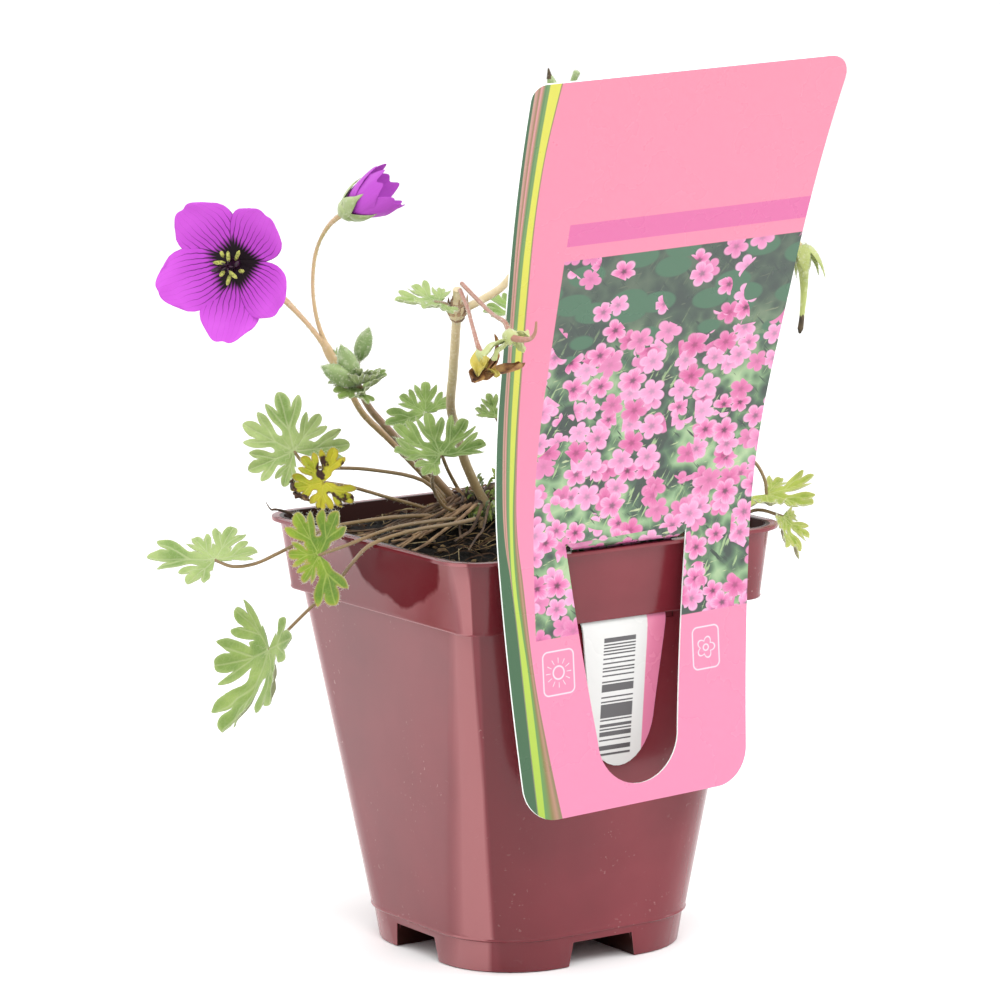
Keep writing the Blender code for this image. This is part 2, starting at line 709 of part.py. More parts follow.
# Leaves: name, colour, place in the compost, points of the stalk, centre of the blade, where its
# middle lobe points, where its upper face looks, the length of each lobe, the angle between
# lobes and how far they bend up, in degrees.
LEAVES = (
    ("leaf_crown_front", "green", (-11.5, 8.5), ((-17, 6.5, 101.5), (-22, 3, 106.5), (-26.5, -4, 111.5)),
     (-28, -9.5, 116.4), (-30, -2, 121), (-0.17, -0.35, 0.92), (10.5, 11.5, 11.5, 12, 11.5, 10), 46, 24),
    ("leaf_crown_small", "green", (-3.0, 20.5), ((-9, 17.5, 108), (-16.5, 11, 117.5)),
     (-21, 7.5, 123.3), (-21.5, 14, 129), (-0.4, -0.7, 0.6), (7, 7.5, 7, 9.5), 56, 20),
    ("leaf_left_high", "green", (-12.0, 12.0), ((-17.5, 14.5, 106.5), (-28, 21.5, 109.3), (-38.5, 23.5, 110.5),
     (-42.5, 25.5, 111.6)),
     (-44.6, 26.6, 114.5), (-49.5, 30.5, 122.5), (-0.5, -0.7, 0.56), (12.5, 10, 13.5, 13, 12, 8.5), 49, 18),
    ("leaf_yellow", "yellow", (-14.5, 15.0), ((-19.5, 15.2, 101), (-27, 15.3, 103.6), (-36, 15.6, 106.8)),
     (-43.2, 16.0, 108.6), (-50.5, 17.5, 107.3), (-0.55, -0.75, 0.35), (8, 7.5, 8.3, 7.5, 8), 62, 22),
    ("leaf_left_middle", "green", (-15.5, 11.5), ((-26, 11, 99.5), (-37, 10.5, 99.6), (-44.8, 11.5, 98.85),
     (-48.5, 15.5, 96.2), (-54, 17.8, 93.4), (-60, 18.5, 91.4), (-64.5, 21, 90.8)),
     (-67.8, 23.5, 92.3), (-69, 34, 97), (-0.25, -0.5, 0.83), (9.5, 11, 8.5, 16.5, 10.5), 56, 20),
    ("leaf_rim", "bright", (-13.5, 5.5), ((-24, 1, 99.6), (-36, -3.2, 100.1), (-44.4, -4.6, 99.0), (-48.2, -0.8, 96.8)),
     (-51.2, 5.4, 94.2), (-54.5, 12.0, 93.8), (-0.88, -0.45, 0.15), (11.2, 10.6, 7.5, 7, 12.5), 60, 14),
    ("leaf_left_low", "green", (-10.5, 1.5), ((-21, -3.5, 99.3), (-34, -8.5, 100), (-43.8, -10.0, 99.1),
     (-46.2, -6.4, 96.8), (-46.1, 0.6, 91.8), (-47.6, 5.2, 86.8), (-54.0, 8.0, 80.6)),
     (-60.5, 12.7, 72.5), (-62.8, 14.2, 60), (-0.82, 0.17, -0.29), (14, 16.5, 21.5, 17, 14), 58, 42),
    ("leaf_behind_label", "green", (3.5, 1.5), ((0, -1.5, 107), (-6, -4.5, 116)),
     (-10.5, -5.8, 122.8), (-5, -5, 128.5), (-0.4, -0.75, 0.5), (5, 6, 6.5, 6, 5), 50, 16),
    ("leaf_right_upper", "lime", (10.5, 5.0), ((20, -2, 103), (33, -12, 110), (43, -19.5, 112.5), (47.7, -23.9, 109.7),
     (49.4, -26.2, 105.5)),
     (49.4, -27, 101.8), (53.2, -37, 99.8), (-0.1, -0.55, 0.83), (8.5, 12, 12.5, 11.5, 8), 50, 24),
    ("leaf_right_lower", "lime", (11.5, 9.5), ((22, 1, 99.5), (33, -16, 98), (39.5, -27, 97.6), (44, -31, 99.4)),
     (49.4, -33.2, 97.6), (51.2, -35.5, 88.6), (0.55, -0.82, 0.1), (6, 8.5, 10, 9, 6.5), 42, 16),
    ("leaf_back_right", "green", (12.0, 15.0), ((22, 20, 108), (40, 27, 118), (57, 32, 122)),
     (67, 34, 119), (80, 37, 114), (0.25, 0.05, 0.95), (12, 14, 15.6, 14.5, 12), 54, 18),
    ("leaf_back_far", "green", (8.0, 22.5), ((16, 33, 107), (33, 50, 114), (48, 61, 115)),
     (56, 68, 112), (63, 78, 107), (0.2, 0.35, 0.9), (10.5, 12.5, 13.2, 12, 10), 54, 18),
    ("leaf_back_high", "green", (11.0, 19.5), ((15.5, 24, 110), (22, 34, 124), (27, 41, 133)),
     (30, 45, 138), (37, 53, 141), (0.3, 0.1, 0.95), (9, 11, 11.5, 10.5, 9), 54, 22),
    ("leaf_back_low", "lime", (3.0, 23.5), ((9, 33, 100.5), (15, 44.4, 99.5), (19, 51, 94)),
     (21, 55, 88), (24, 60, 79), (0.35, 0.9, 0.25), (8.5, 10, 11, 10.5, 8.5), 54, 20),
    ("leaf_side_right", "green", (13.5, 11.5), ((24, 10, 106), (35, 9, 114)),
     (43, 8, 119), (53, 6, 121), (0.15, -0.35, 0.93), (9, 11, 11.5, 10.5, 8.5), 54, 20),
)

OPEN_FLOWER = (-56.0, 31.0, 158.0)
OPEN_FLOWER_WAY = (-0.76, -0.64, 0.02)
HALF_OPEN_FLOWER = (-35.5, 17.5, 169.4)
HALF_OPEN_WAY = (0.62, -0.62, 0.48)


def make_flower_stalk(material):
    """The stalk that carries the open and the half-open flower, with their sepals."""
    root = (-7.5, 20.5)
    fork = (-36.6, 24.2, 138.0)
    route = [(-12.5, 22.5, 106.5), (-19.9, 24.5, 114.8), (-27, 24.5, 121.5), (-31.5, 23.5, 128), fork]
    main = stalk(rooted(*root) + route, (0.85, 0.8, 0.7))
    way = Vector(OPEN_FLOWER_WAY).normalized()
    back = Vector(OPEN_FLOWER) - way * 1.6
    route = [(-35.4, 23.8, 135), (-40, 25.5, 142.5), (-45.5, 29.5, 149.5), (-51.5, 33.5, 155)]
    first = stalk(route + [back - way * 2.6, back], (0.6, 0.5, 0.5, 0.7))
    second_way = Vector(HALF_OPEN_WAY).normalized()
    base = Vector(HALF_OPEN_FLOWER)
    second = stalk([(-36.0, 24.0, 136.5), (-38.6, 25, 144), (-39.5, 25.3, 152), (-38.6, 25, 160),
                    (-37.3, 21.5, 166), base + second_way * 0.6], (0.6, 0.5, 0.5, 0.7))
    hidden = stalk([(-36.6, 24.2, 138), (-40.5, 29, 145), (-44, 34, 151), (-45.5, 36.5, 153.5)], (0.5, 0.45))
    small = bud((-45, 36, 152.5), (-48.5, 40, 157), 3.4)
    knot = bud((-34.2, 23.5, 132.5), (-38.2, 24.8, 141), 2.4)
    open_sepals = calyx(back, OPEN_FLOWER_WAY, 8.5, 14.0, 21)
    half_sepals = calyx(base, HALF_OPEN_WAY, 9.0, 66.0, 22)
    return root, 0.85, fuse("flower_stalk", [main, first, second, hidden, small, knot, open_sepals, half_sepals],
                            material)


def make_open_flower(petal_material, stamen_material):
    petals = star_sheet(PETAL_LOBE, [16.4] * 5, 72.0, 0.2, 20.0, -0.03, 0.25, 5, closed=True)
    way = Vector(OPEN_FLOWER_WAY).normalized()
    petals = facing(petals, OPEN_FLOWER, OPEN_FLOWER_WAY, 50.0)
    new_object("open_flower_petals", petals, petal_material)
    ahead = way.to_track_quat("Z", "Y")
    front = Vector(OPEN_FLOWER) + way * (BLADE_THICK / 2 + GAP)
    column = stalk([front, front + way * 2.2, front + way * 4.8], (1.5, 0.9, 0.45), 1, 1)
    pieces = [column]
    for index in range(10):
        angle = 2 * math.pi * index / 10
        out = ahead @ Vector((math.cos(angle), math.sin(angle), 0.0))
        reach = 2.9 if index % 2 else 2.1
        top = front + way * (4.6 if index % 2 else 5.4) + out * reach
        pieces.append(stalk([front + way * 0.7, front + way * 2.6 + out * reach * 0.6, top], (0.42, 0.4, 0.55), 1))
    fuse("open_flower_stamens", pieces, stamen_material)


def make_half_open_flower(petal_material):
    way = Vector(HALF_OPEN_WAY).normalized()
    centre = Vector(HALF_OPEN_FLOWER) + way * 1.5
    petals = star_sheet(PETAL_LOBE, [13.5] * 5, 72.0, 0.22, 122.0, 0.0, 0.05, 9, closed=True)
    new_object("half_open_petals", facing(petals, centre, HALF_OPEN_WAY, 10.0), petal_material)


def make_bud_spray(material):
    """A reddish stalk that ends in a knot of hairy buds with small leaf-like bracts under them."""
    root = (-7.5, 15.5)
    route = [(-10.5, 17, 104), (-15.5, 18.5, 110), (-22.5, 19.3, 117.2), (-29.3, 18.2, 124), (-34.4, 15.0, 130.4)]
    main = stalk(rooted(*root) + route, (0.95, 0.9, 0.8))
    short = stalk([(-34.2, 15.2, 129.6), (-34.2, 15.6, 133.5), (-33.5, 15.5, 136.5)], (0.6, 0.5))
    pieces = [main, short]
    for base, tip, width in (
        ((-33.6, 15.6, 135.8), (-32.6, 12.5, 143.3), 4.0),
        ((-35, 14.8, 130.5), (-40.4, 12, 140), 4.9),
        ((-35, 14.4, 130.8), (-45.2, 12.4, 135.6), 4.7),
    ):
        pieces.append(bud(base, tip, width))
    for centre, aim, face, radius, seed in (
        ((-34.5, 15.2, 129.5), (-42, 11.5, 127.6), (-0.3, -0.6, 0.7), 6.5, 31),
        ((-33.5, 15.4, 128.8), (-29.5, 8.5, 131.6), (0.1, -0.6, 0.8), 7.0, 35),
        ((-34.5, 14.6, 131), (-38, 8.3, 134.2), (0.1, 0.1, 1.0), 5.5, 33),
    ):
        pieces.append(leaf_mesh(centre, aim, face, (radius * 0.85, radius, radius * 0.85), seed))
    return root, 0.95, fuse("bud_spray", pieces, material)


FORK = (-26.0, -35.0, 158.0)
STEM_NODE = (-37.0, -31.5, 152.5)


def make_old_flower_stem(material):
    """The thick old stem, its swollen joint, and the branch that goes up behind the label."""
    root = (-5.0, 6.5)
    main = stalk(rooted(*root) + [(-6.7, 8.2, 104), (-10.2, 7.9, 110.8), (-13.9, 5.5, 118.3), (-18.3, 1.1, 125.3),
                                  (-24.8, -10.1, 134), (-31.3, -21.3, 141.8), STEM_NODE, (-38.4, -34, 157)],
                 (1.15, 1.1, 1.05, 1.0))
    knot = bud((-35.3, -28.6, 148.8), (-38.4, -34, 156.8), 4.2)
    branch = stalk([(-37, -31, 151.5), (-31, -33.6, 154.5), FORK, (-22, -38.5, 167), (-21, -45, 179), (-23, -51, 190),
                    (-25, -55, 197)], (0.9, 0.85, 0.7, 0.6))
    arm = stalk([(-25, -36, 160), (-8, -37, 168), (12, -38, 172), (32, -41, 170), (42, -44.5, 166.5),
                 (45.6, -46, 161)], (0.7, 0.5, 0.5))
    return root, 1.15, fuse("old_flower_stem", [main, knot, branch, arm], material)


def make_seed_heads(material):
    """A nodding seed head beside the label, and two young ones over its top edge."""
    hood = calyx((45.9, -46.3, 160.4), (0.2, -0.03, -1.0), 10.5, 80.0, 41)
    beak = stalk([(45.9, -46.3, 159.6), (46, -46.3, 151), (45.2, -46, 142)], (1.5, 0.9, 0.5))
    fuse("seed_head", [hood, beak], material)
    first = bud((-25.3, -54.6, 197.6), (-27.5, -54.5, 204.6), 2.6)
    second = stalk([(-25.1, -55.2, 197.6), (-24, -57, 201), (-23, -58.6, 204.8)], (0.5, 0.5, 0.8))
    fuse("young_seed_heads", [first, second], material)


def make_spent_flowers(material):
    """Two withered flowers on thin pedicels, in front of the label's edge: sepals and curled petals."""
    pedicel = stalk([(-38.9, -35.8, 157.0), (-41.7, -43, 154.1), (-45.4, -50.5, 151.5), (-48.7, -57.5, 148.6),
                     (-49.1, -59.5, 146.8)], (0.5, 0.45, 0.6))
    pieces = [pedicel, bud((-49, -58.4, 148), (-49, -60.4, 142), 3.8)]
    for base, tip, width in (
        ((-49.6, -60, 144), (-52.4, -61, 139.6), 4.0),
        ((-49.4, -60.2, 142.8), (-41.2, -61.6, 141), 3.0),
        ((-49.2, -60.4, 143), (-44.9, -65.6, 147.8), 3.4),
    ):
        pieces.append(bud(base, tip, width))
    fuse("spent_flower_left", pieces, material)
    pedicel = stalk([(-38.2, -35.4, 158.4), (-40.1, -46.5, 155), (-41.8, -52.5, 154), (-43.4, -57.5, 153.6),
                     (-44.6, -62, 153.2), (-45.7, -65.5, 151.5)], (0.5, 0.45, 0.6))
    pieces = [pedicel, bud((-45.6, -65.6, 152), (-46.8, -67.4, 148.6), 4.2)]
    for base, tip, width in (
        ((-46.6, -66.6, 150.2), (-52.4, -64.4, 149.4), 1.8),
        ((-46.6, -66.4, 149.6), (-50.4, -64, 147.6), 2.0),
    ):
        pieces.append(bud(base, tip, width))
    pieces.append(stalk([(-46.4, -66.8, 150.6), (-45.4, -69.5, 150.3), (-44.4, -71.5, 150.6), (-43.8, -72.5, 152),
                         (-43.8, -73, 154.3)], (0.9, 0.6, 0.4)))
    fuse("spent_flower_right", pieces, material)


def make_rootstock(material):
    """The woody crown, with old roots that run out over the compost."""
    x, y = CROWN
    level = soil_height(x, y)
    stump = stalk([(x, y, level - ROOT_DEPTH), (x, y, level + 1.0), (x - 0.6, y - 0.4, level + 3.4),
                   (x - 1.4, y - 0.6, level + 5.2)], (4.2, 4.4, 3.2, 1.6), 1, 2)
    pieces = [stump]
    for turn, reach, height in ((4.28, 25.0, 1.0), (5.1, 22.0, 1.2), (1.16, 21.0, 1.0), (5.75, 19.0, 1.1)):
        way = Vector((math.cos(turn), math.sin(turn), 0.0))
        points = [(x + way.x * 1.5, y + way.y * 1.5, level + 2.6)]
        for share in (0.28, 0.5, 0.75, 1.0):
            px, py = x + way.x * reach * share, y + way.y * reach * share
            lift = height + 0.6 + (1.0 - share) * 1.4
            points.append((px, py, soil_height(px, py) + lift))
        pieces.append(stalk(points, (1.1, 0.8, 0.5), 1))
    return CROWN, 4.4, fuse("rootstock", pieces, material)


def main():
    clear_scene()
    finishes = {
        "burgundy": finish_material("moulded_burgundy_plastic", (0.32, 0.055, 0.075), 0.28),
        "compost": finish_material("peat_compost", (0.055, 0.035, 0.022), 0.95),
        "card": finish_material("printed_pink_card", (0.95, 0.36, 0.56), 0.35),
        "green": finish_material("grey_green_leaf", (0.20, 0.32, 0.12), 0.6),
        "bright": finish_material("bright_green_leaf", (0.24, 0.42, 0.06), 0.55),
        "lime": finish_material("yellow_green_leaf", (0.36, 0.46, 0.12), 0.55),
        "yellow": finish_material("yellowed_leaf", (0.62, 0.52, 0.06), 0.6),
        "petal": finish_material("magenta_petal", (0.42, 0.03, 0.50), 0.5),
        "stamen": finish_material("dark_stamens", (0.05, 0.03, 0.03), 0.5),
        "stalk": finish_material("reddish_green_stalk", (0.42, 0.30, 0.14), 0.55),
        "wood": finish_material("woody_brown_stem", (0.22, 0.12, 0.06), 0.8),
        "straw": finish_material("dried_straw_flower", (0.55, 0.45, 0.16), 0.7),
    }
    make_pot(finishes["burgundy"])
    make_label(finishes["card"])
    stems = []
    for make, finish in (
        (make_rootstock, "wood"),
        (make_flower_stalk, "stalk"),
        (make_bud_spray, "green"),
        (make_old_flower_stem, "wood"),
    ):
        root, radius, _ = make(finishes[finish])
        stems.append((*root, radius))
    make_open_flower(finishes["petal"], finishes["stamen"])
    make_half_open_flower(finishes["petal"])
    make_seed_heads(finishes["green"])
    make_spent_flowers(finishes["straw"])
    stub = stalk([(-39.7, -31.2, 153.4), (-40.6, -31.1, 153.8), (-42.2, -30.8, 154.2)], (0.6, 0.55))
    stem_leaf = leaf_mesh((-41.5, -31, 154), (-50, -28, 154.5), (-0.1, -0.3, 0.95), (6, 8, 9.5, 8.5, 6), 51)
    fuse("leaf_on_stem", [stub, stem_leaf], finishes["green"])
    for seed, (name, finish, root, route, centre, aim, face, lengths, spacing, cup) in enumerate(LEAVES):
        petiole = stalk(rooted(*root) + list(route) + [centre], (PETIOLE_RADIUS + 0.1, PETIOLE_RADIUS))
        blade = leaf_mesh(centre, aim, face, lengths, seed, spacing, cup)
        fuse(name, [petiole, blade], finishes[finish])
        stems.append((*root, PETIOLE_RADIUS + 0.1))
    make_compost(finishes["compost"], stems)


main()
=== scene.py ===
"""A hardy geranium in its square nursery pot, with a plant label hooked over the rim.

The pot comes first, then the label, the compost, the woody rootstock, the stems, the leaves and
the flowers, in the order in which a grower would put them together. Sizes are in millimetres.
"""

import math
import random

import bpy
import bmesh
import numpy as np
from mathutils import Matrix, Vector, geometry, noise


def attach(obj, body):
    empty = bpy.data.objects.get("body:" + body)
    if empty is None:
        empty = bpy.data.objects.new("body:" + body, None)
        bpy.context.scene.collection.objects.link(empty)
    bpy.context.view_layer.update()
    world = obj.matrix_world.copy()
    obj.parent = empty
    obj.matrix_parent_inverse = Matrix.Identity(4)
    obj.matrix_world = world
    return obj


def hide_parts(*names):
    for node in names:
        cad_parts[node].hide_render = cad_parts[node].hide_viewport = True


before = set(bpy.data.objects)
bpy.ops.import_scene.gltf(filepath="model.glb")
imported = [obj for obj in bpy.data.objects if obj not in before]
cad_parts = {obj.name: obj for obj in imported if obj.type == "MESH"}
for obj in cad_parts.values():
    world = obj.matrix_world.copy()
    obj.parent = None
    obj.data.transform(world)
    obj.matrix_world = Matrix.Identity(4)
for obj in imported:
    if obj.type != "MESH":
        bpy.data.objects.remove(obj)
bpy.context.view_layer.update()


# The pot: a thin-walled square nursery pot, injection-moulded in burgundy polypropylene. It tapers
# below a deep collar with a turned-out lip, and stands on four feet between two crossing channels.

MM = 0.001
POT_HEIGHT = 97.8
LEDGE = 80.9
CORNER_STEPS = 10
POT_OUTSIDE = (
    (30.3, 19.2, 0.0),
    (31.0, 18.6, 7.1),
    (31.35, 18.4, 7.35),
    (31.55, 18.4, 7.6),
    (31.4, 18.4, 7.95),
    (31.45, 18.3, 8.6),
    (35.35, 14.2, 44.0),
    (39.4, 9.8, LEDGE),
    (40.45, 5.8, LEDGE),
    (40.62, 5.9, 81.3),
    (40.55, 6.0, 81.9),
    (42.9, 8.9, 97.0),
    (44.8, 10.7, 97.0),
    (44.8, 10.7, 97.8),
)
POT_INSIDE = (
    (42.0, 7.9, 97.8),
    (39.65, 5.0, 81.9),
    (38.4, 8.8, 81.9),
    (34.35, 13.2, 44.0),
    (30.3, 17.4, 7.6),
    (29.5, 18.0, 1.2),
)


def srgb(code):
    """The linear colour of an sRGB hex value."""
    parts = [int(code[i : i + 2], 16) / 255 for i in (1, 3, 5)]
    return (*[c / 12.92 if c <= 0.04045 else ((c + 0.055) / 1.055) ** 2.4 for c in parts], 1.0)


def wire(material, node, *numbered, **named):
    """Sets or links a node's inputs, the first ones in their order and others by name.

    A value is a number, a vector, a hex colour, a node or a node's output. In a name, _ is a space.
    """
    places = (0, 6, 7) if node.type == "MIX" else range(3)
    for name, value in [*zip(places, numbered), *named.items()]:
        socket = node.inputs[name.replace("_", " ") if name in named else name]
        if isinstance(value, str):
            value = srgb(value)
        if isinstance(value, bpy.types.Node):
            value = value.outputs[2 if value.type == "MIX" else 0]
        if isinstance(value, bpy.types.NodeSocket):
            material.node_tree.links.new(value, socket)
        else:
            socket.default_value = value


def add(material, kind, *numbered, **named):
    """Adds a node of a kind, or a kind and its operation. Small first letters name its settings."""
    kind, _, operation = kind.partition(" ")
    node = material.node_tree.nodes.new("ShaderNode" + kind)
    if kind == "Mix":
        node.data_type = "RGBA"
    if operation:
        node.operation = operation
    for name in [name for name in named if name[0].islower()]:
        value = named.pop(name)
        if name == "points":
            curve = node.mapping.curves[0].points
            curve[0].location, curve[1].location = value[0], value[-1]
            for place in value[1:-1]:
                curve.new(*place)
            node.mapping.update()
        elif name == "stops":
            ramp = node.color_ramp.elements
            ramp.remove(ramp[1])
            ramp[0].position, ramp[0].color = value[0][0], srgb(value[0][1])
            for place, colour in value[1:]:
                ramp.new(place).color = srgb(colour)
        else:
            setattr(node, name, value)
    wire(material, node, *numbered, **named)
    return node


def new_material(name):
    """A new material, its shader, and where on the object a pattern is read."""
    material = bpy.data.materials.new(name)
    material.use_nodes = True
    where = add(material, "TexCoord").outputs["Object"]
    return material, material.node_tree.nodes["Principled BSDF"], where


def only(*things):
    """Selects these objects alone, and makes the first one active."""
    bpy.ops.object.select_all(action="DESELECT")
    for thing in things:
        thing.select_set(True)
    bpy.context.view_layer.objects.active = things[0]


def finished(thing, name, degrees=35):
    """Names a piece, bakes its place into its mesh and smooths all but its sharp edges."""
    only(thing)
    bpy.ops.object.transform_apply(location=True, rotation=True, scale=True)
    bpy.ops.object.shade_smooth_by_angle(angle=math.radians(degrees))
    thing.name = name
    return thing


def modified(thing, kind, **settings):
    """Puts a modifier on a piece and applies it."""
    only(thing)
    step = thing.modifiers.new(kind.lower(), kind)
    for name, value in settings.items():
        setattr(step, name, value)
    bpy.ops.object.modifier_apply(modifier=step.name)


def lofted_square(rings):
    """A body extruded from ring to ring. A ring is half its width, its corner radius and its height."""
    half, corner, z = rings[0]
    bpy.ops.mesh.primitive_plane_add(size=2 * half * MM, location=(0, 0, z * MM))
    body = bpy.context.object
    bpy.ops.object.transform_apply(location=True)
    bpy.ops.object.mode_set(mode="EDIT")
    bpy.ops.mesh.bevel(offset=corner * MM, segments=CORNER_STEPS, affect="VERTICES")
    bpy.ops.mesh.select_all(action="SELECT")
    for next_half, next_corner, next_z in rings[1:]:
        bpy.ops.mesh.extrude_region()
        work = bmesh.from_edit_mesh(body.data)
        for vertex in (v for v in work.verts if v.select):
            for axis in (0, 1):
                side = math.copysign(1, vertex.co[axis])
                arc = (abs(vertex.co[axis]) / MM - (half - corner)) / corner
                vertex.co[axis] = side * (next_half - next_corner + arc * next_corner) * MM
            vertex.co.z = next_z * MM
        bmesh.update_edit_mesh(body.data)
        half, corner = next_half, next_corner
    bpy.ops.mesh.select_all(action="SELECT")
    bpy.ops.mesh.normals_make_consistent(inside=False)
    bpy.ops.object.mode_set(mode="OBJECT")
    return body


def merged(body, tool, operation):
    """Adds a tool body to a piece, or cuts it away, and removes the tool."""
    modified(body, "BOOLEAN", operation=operation, object=tool, solver="EXACT")
    bpy.data.objects.remove(tool, do_unlink=True)


def channel(length, foot, top, height, turn, below=0.0):
    """A drafted bar across the underside, wider at its foot than at its top."""
    bpy.ops.mesh.primitive_cube_add(size=1, location=(0, 0, height / 2 * MM))
    bar = bpy.context.object
    bar.scale = (length * MM, foot * MM, height * MM)
    bar.rotation_euler.z = turn
    bpy.ops.object.transform_apply(location=True, rotation=True, scale=True)
    across = 0 if turn else 1
    for vertex in bar.data.vertices:
        if vertex.co.z > height / 2 * MM:
            vertex.co[across] *= top / foot
        else:
            vertex.co.z -= below * MM
    return bar


CHANNEL_FOOT = 18.0
CHANNEL_TOP = 16.0
CHANNEL_HEIGHT = 5.6
CHANNEL_WALL = 1.0
FOOT_SPAN = 59.8
LABEL_SLOT_PLACE = (0.6, -39.6, 81.6)
LABEL_SLOT_SIZE = (27.4, 1.25, 4.4)
DRAINS = ((0, 0, 5), (18, 0, 3), (-18, 0, 3), (0, 18, 3), (0, -18, 3))

pot = lofted_square(POT_OUTSIDE + POT_INSIDE)
for length, wall, below, operation in (
    (FOOT_SPAN, CHANNEL_WALL, 0.0, "UNION"),
    (75.0, 0.0, 0.5, "DIFFERENCE"),
):
    for turn in (0, math.pi / 2):
        foot, top = CHANNEL_FOOT + 2 * wall, CHANNEL_TOP + 2 * wall
        merged(pot, channel(length, foot, top, CHANNEL_HEIGHT + wall, turn, below), operation)
for x, y, radius in DRAINS:
    place = (x * MM, y * MM, (CHANNEL_HEIGHT + 0.5) * MM)
    bpy.ops.mesh.primitive_cylinder_add(vertices=24, radius=radius * MM, depth=3 * MM, location=place)
    merged(pot, bpy.context.object, "DIFFERENCE")
bpy.ops.mesh.primitive_cube_add(size=1, location=[value * MM for value in LABEL_SLOT_PLACE])
slot_tool = bpy.context.object
slot_tool.scale = [value * MM for value in LABEL_SLOT_SIZE]
merged(pot, slot_tool, "DIFFERENCE")
modified(pot, "BEVEL", width=0.2 * MM, segments=2, limit_method="ANGLE", angle_limit=math.radians(38))
finished(pot, "moulded_pot", 32)

# Moulded polypropylene: satin gloss, a faint orange-peel surface, dull scuffs and specks of dust.
plastic, shader, where = new_material("moulded_burgundy_polypropylene")
clouds = add(plastic, "TexNoise", Vector=where, Scale=45.0, Detail=3.0)
tone = add(plastic, "ValToRGB", clouds, stops=((0.35, "#681e27"), (0.65, "#74262f")))
dust = add(plastic, "TexNoise", Vector=where, Scale=900.0, Detail=2.0)
dusty = add(plastic, "MapRange", Value=dust, From_Min=0.66, From_Max=0.74)
patchy = add(plastic, "TexNoise", Vector=where, Scale=60.0, Detail=4.0)
patches = add(plastic, "MapRange", Value=patchy, From_Min=0.52, From_Max=0.7, To_Max=0.55)
specks = add(plastic, "Math MULTIPLY", dusty, patches)
colour = add(plastic, "Mix", specks, tone, "#c3a09c")

# A pale painted sheen of the left light, partly a dust film, lies on the left wall and is strongest
# where it turns round the corner. A ragged patch below the rim is painted darker without it, as a
# painted reflection of the leaf over the rim, and its real reflection is turned down there. The front
# wall is painted darker towards its left corner as painted shade. Inside, the wall is painted dark as
# painted shade, and its reflection is turned down.
place = add(plastic, "SeparateXYZ", where)
normal = add(plastic, "NewGeometry").outputs["Normal"]
facing = add(plastic, "SeparateXYZ", normal)
left = add(plastic, "MapRange", Value=facing.outputs[0], From_Min=-0.70, From_Max=-0.74)
# The ragged patch below the rim: a painted reflection of the leaf over the rim, darker and without the
# painted sheen.
ragged = add(plastic, "VectorMath MULTIPLY_ADD", patchy.outputs[1], (0.0, 0.009, 0.009), where)
patch_place = add(plastic, "VectorMath SUBTRACT", ragged, (0.0, -0.0075, 0.1025))
patch_shape = add(plastic, "VectorMath MULTIPLY", patch_place, (0.0, 1 / 0.0205, 1 / 0.0136))
from_patch = add(plastic, "VectorMath LENGTH", patch_shape).outputs["Value"]
in_dark_reflection = add(plastic, "MapRange", Value=from_patch, From_Min=1.03, From_Max=0.97)
dark_reflection_patch = add(plastic, "Math MULTIPLY", in_dark_reflection, left)
above = add(plastic, "Math GREATER_THAN", place.outputs[2], 0.0812)
dark_reflection_patch = add(plastic, "Math MULTIPLY", dark_reflection_patch, above)
# Painted shade: the front wall darkens towards its left corner.
front = add(plastic, "MapRange", Value=facing.outputs[1], From_Min=-0.67, From_Max=-0.71)
towards_shaded_corner = add(plastic, "MapRange", Value=place.outputs[0], From_Min=-0.006, From_Max=-0.032)
corner = add(plastic, "Math MULTIPLY", towards_shaded_corner, front)
painted_darkening = add(plastic, "Math MAXIMUM", dark_reflection_patch, corner)
left_sheen = add(plastic, "Math SUBTRACT", left, dark_reflection_patch)
rounded = add(
    plastic, "MapRange", Value=facing.outputs[0], From_Min=-0.985, From_Max=-0.92, To_Min=0.2, To_Max=0.95
)
painted_sheen = add(plastic, "Math MULTIPLY", left_sheen, rounded)
# Painted sheen of the left light on the left wall, partly a dust film.
colour = add(plastic, "Mix", painted_sheen, colour, "#9a5d60")
# Painted darkening: the leaf's painted reflection below the rim and the painted shade at the front left
# corner.
colour = add(plastic, "Mix", painted_darkening, colour, "#5c121b")
# Painted shade on the inner wall, which is also given less reflection.
flat_place = add(plastic, "VectorMath MULTIPLY", where, (1.0, 1.0, 0.0))
outward = add(plastic, "VectorMath DOT_PRODUCT", normal, flat_place).outputs["Value"]
inside = add(plastic, "Math LESS_THAN", outward, -0.002)
colour = add(plastic, "Mix", inside, colour, "#2a1310")
dimmed = add(plastic, "Math MAXIMUM", dark_reflection_patch, inside)
shine = add(plastic, "MapRange", Value=dimmed, To_Min=0.5, To_Max=0.05)
gloss = add(plastic, "MapRange", Value=clouds, To_Min=0.16, To_Max=0.27)
peel = add(plastic, "TexNoise", Vector=where, Scale=260.0, Detail=2.0)
bump = add(plastic, "Bump", Strength=0.05, Distance=0.0004, Height=peel)
wire(plastic, shader, Base_Color=colour, Roughness=gloss, Normal=bump, IOR=1.49)
wire(plastic, shader, Specular_IOR_Level=shine)
pot.data.materials.clear()
pot.data.materials.append(plastic)
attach(pot, "root")
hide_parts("pot")


# The plant label: one die-cut plastic card, printed and varnished, that leans back as it rises. A
# U-shaped cut frees a tongue, which goes over the rim, down inside the collar and out under its step.

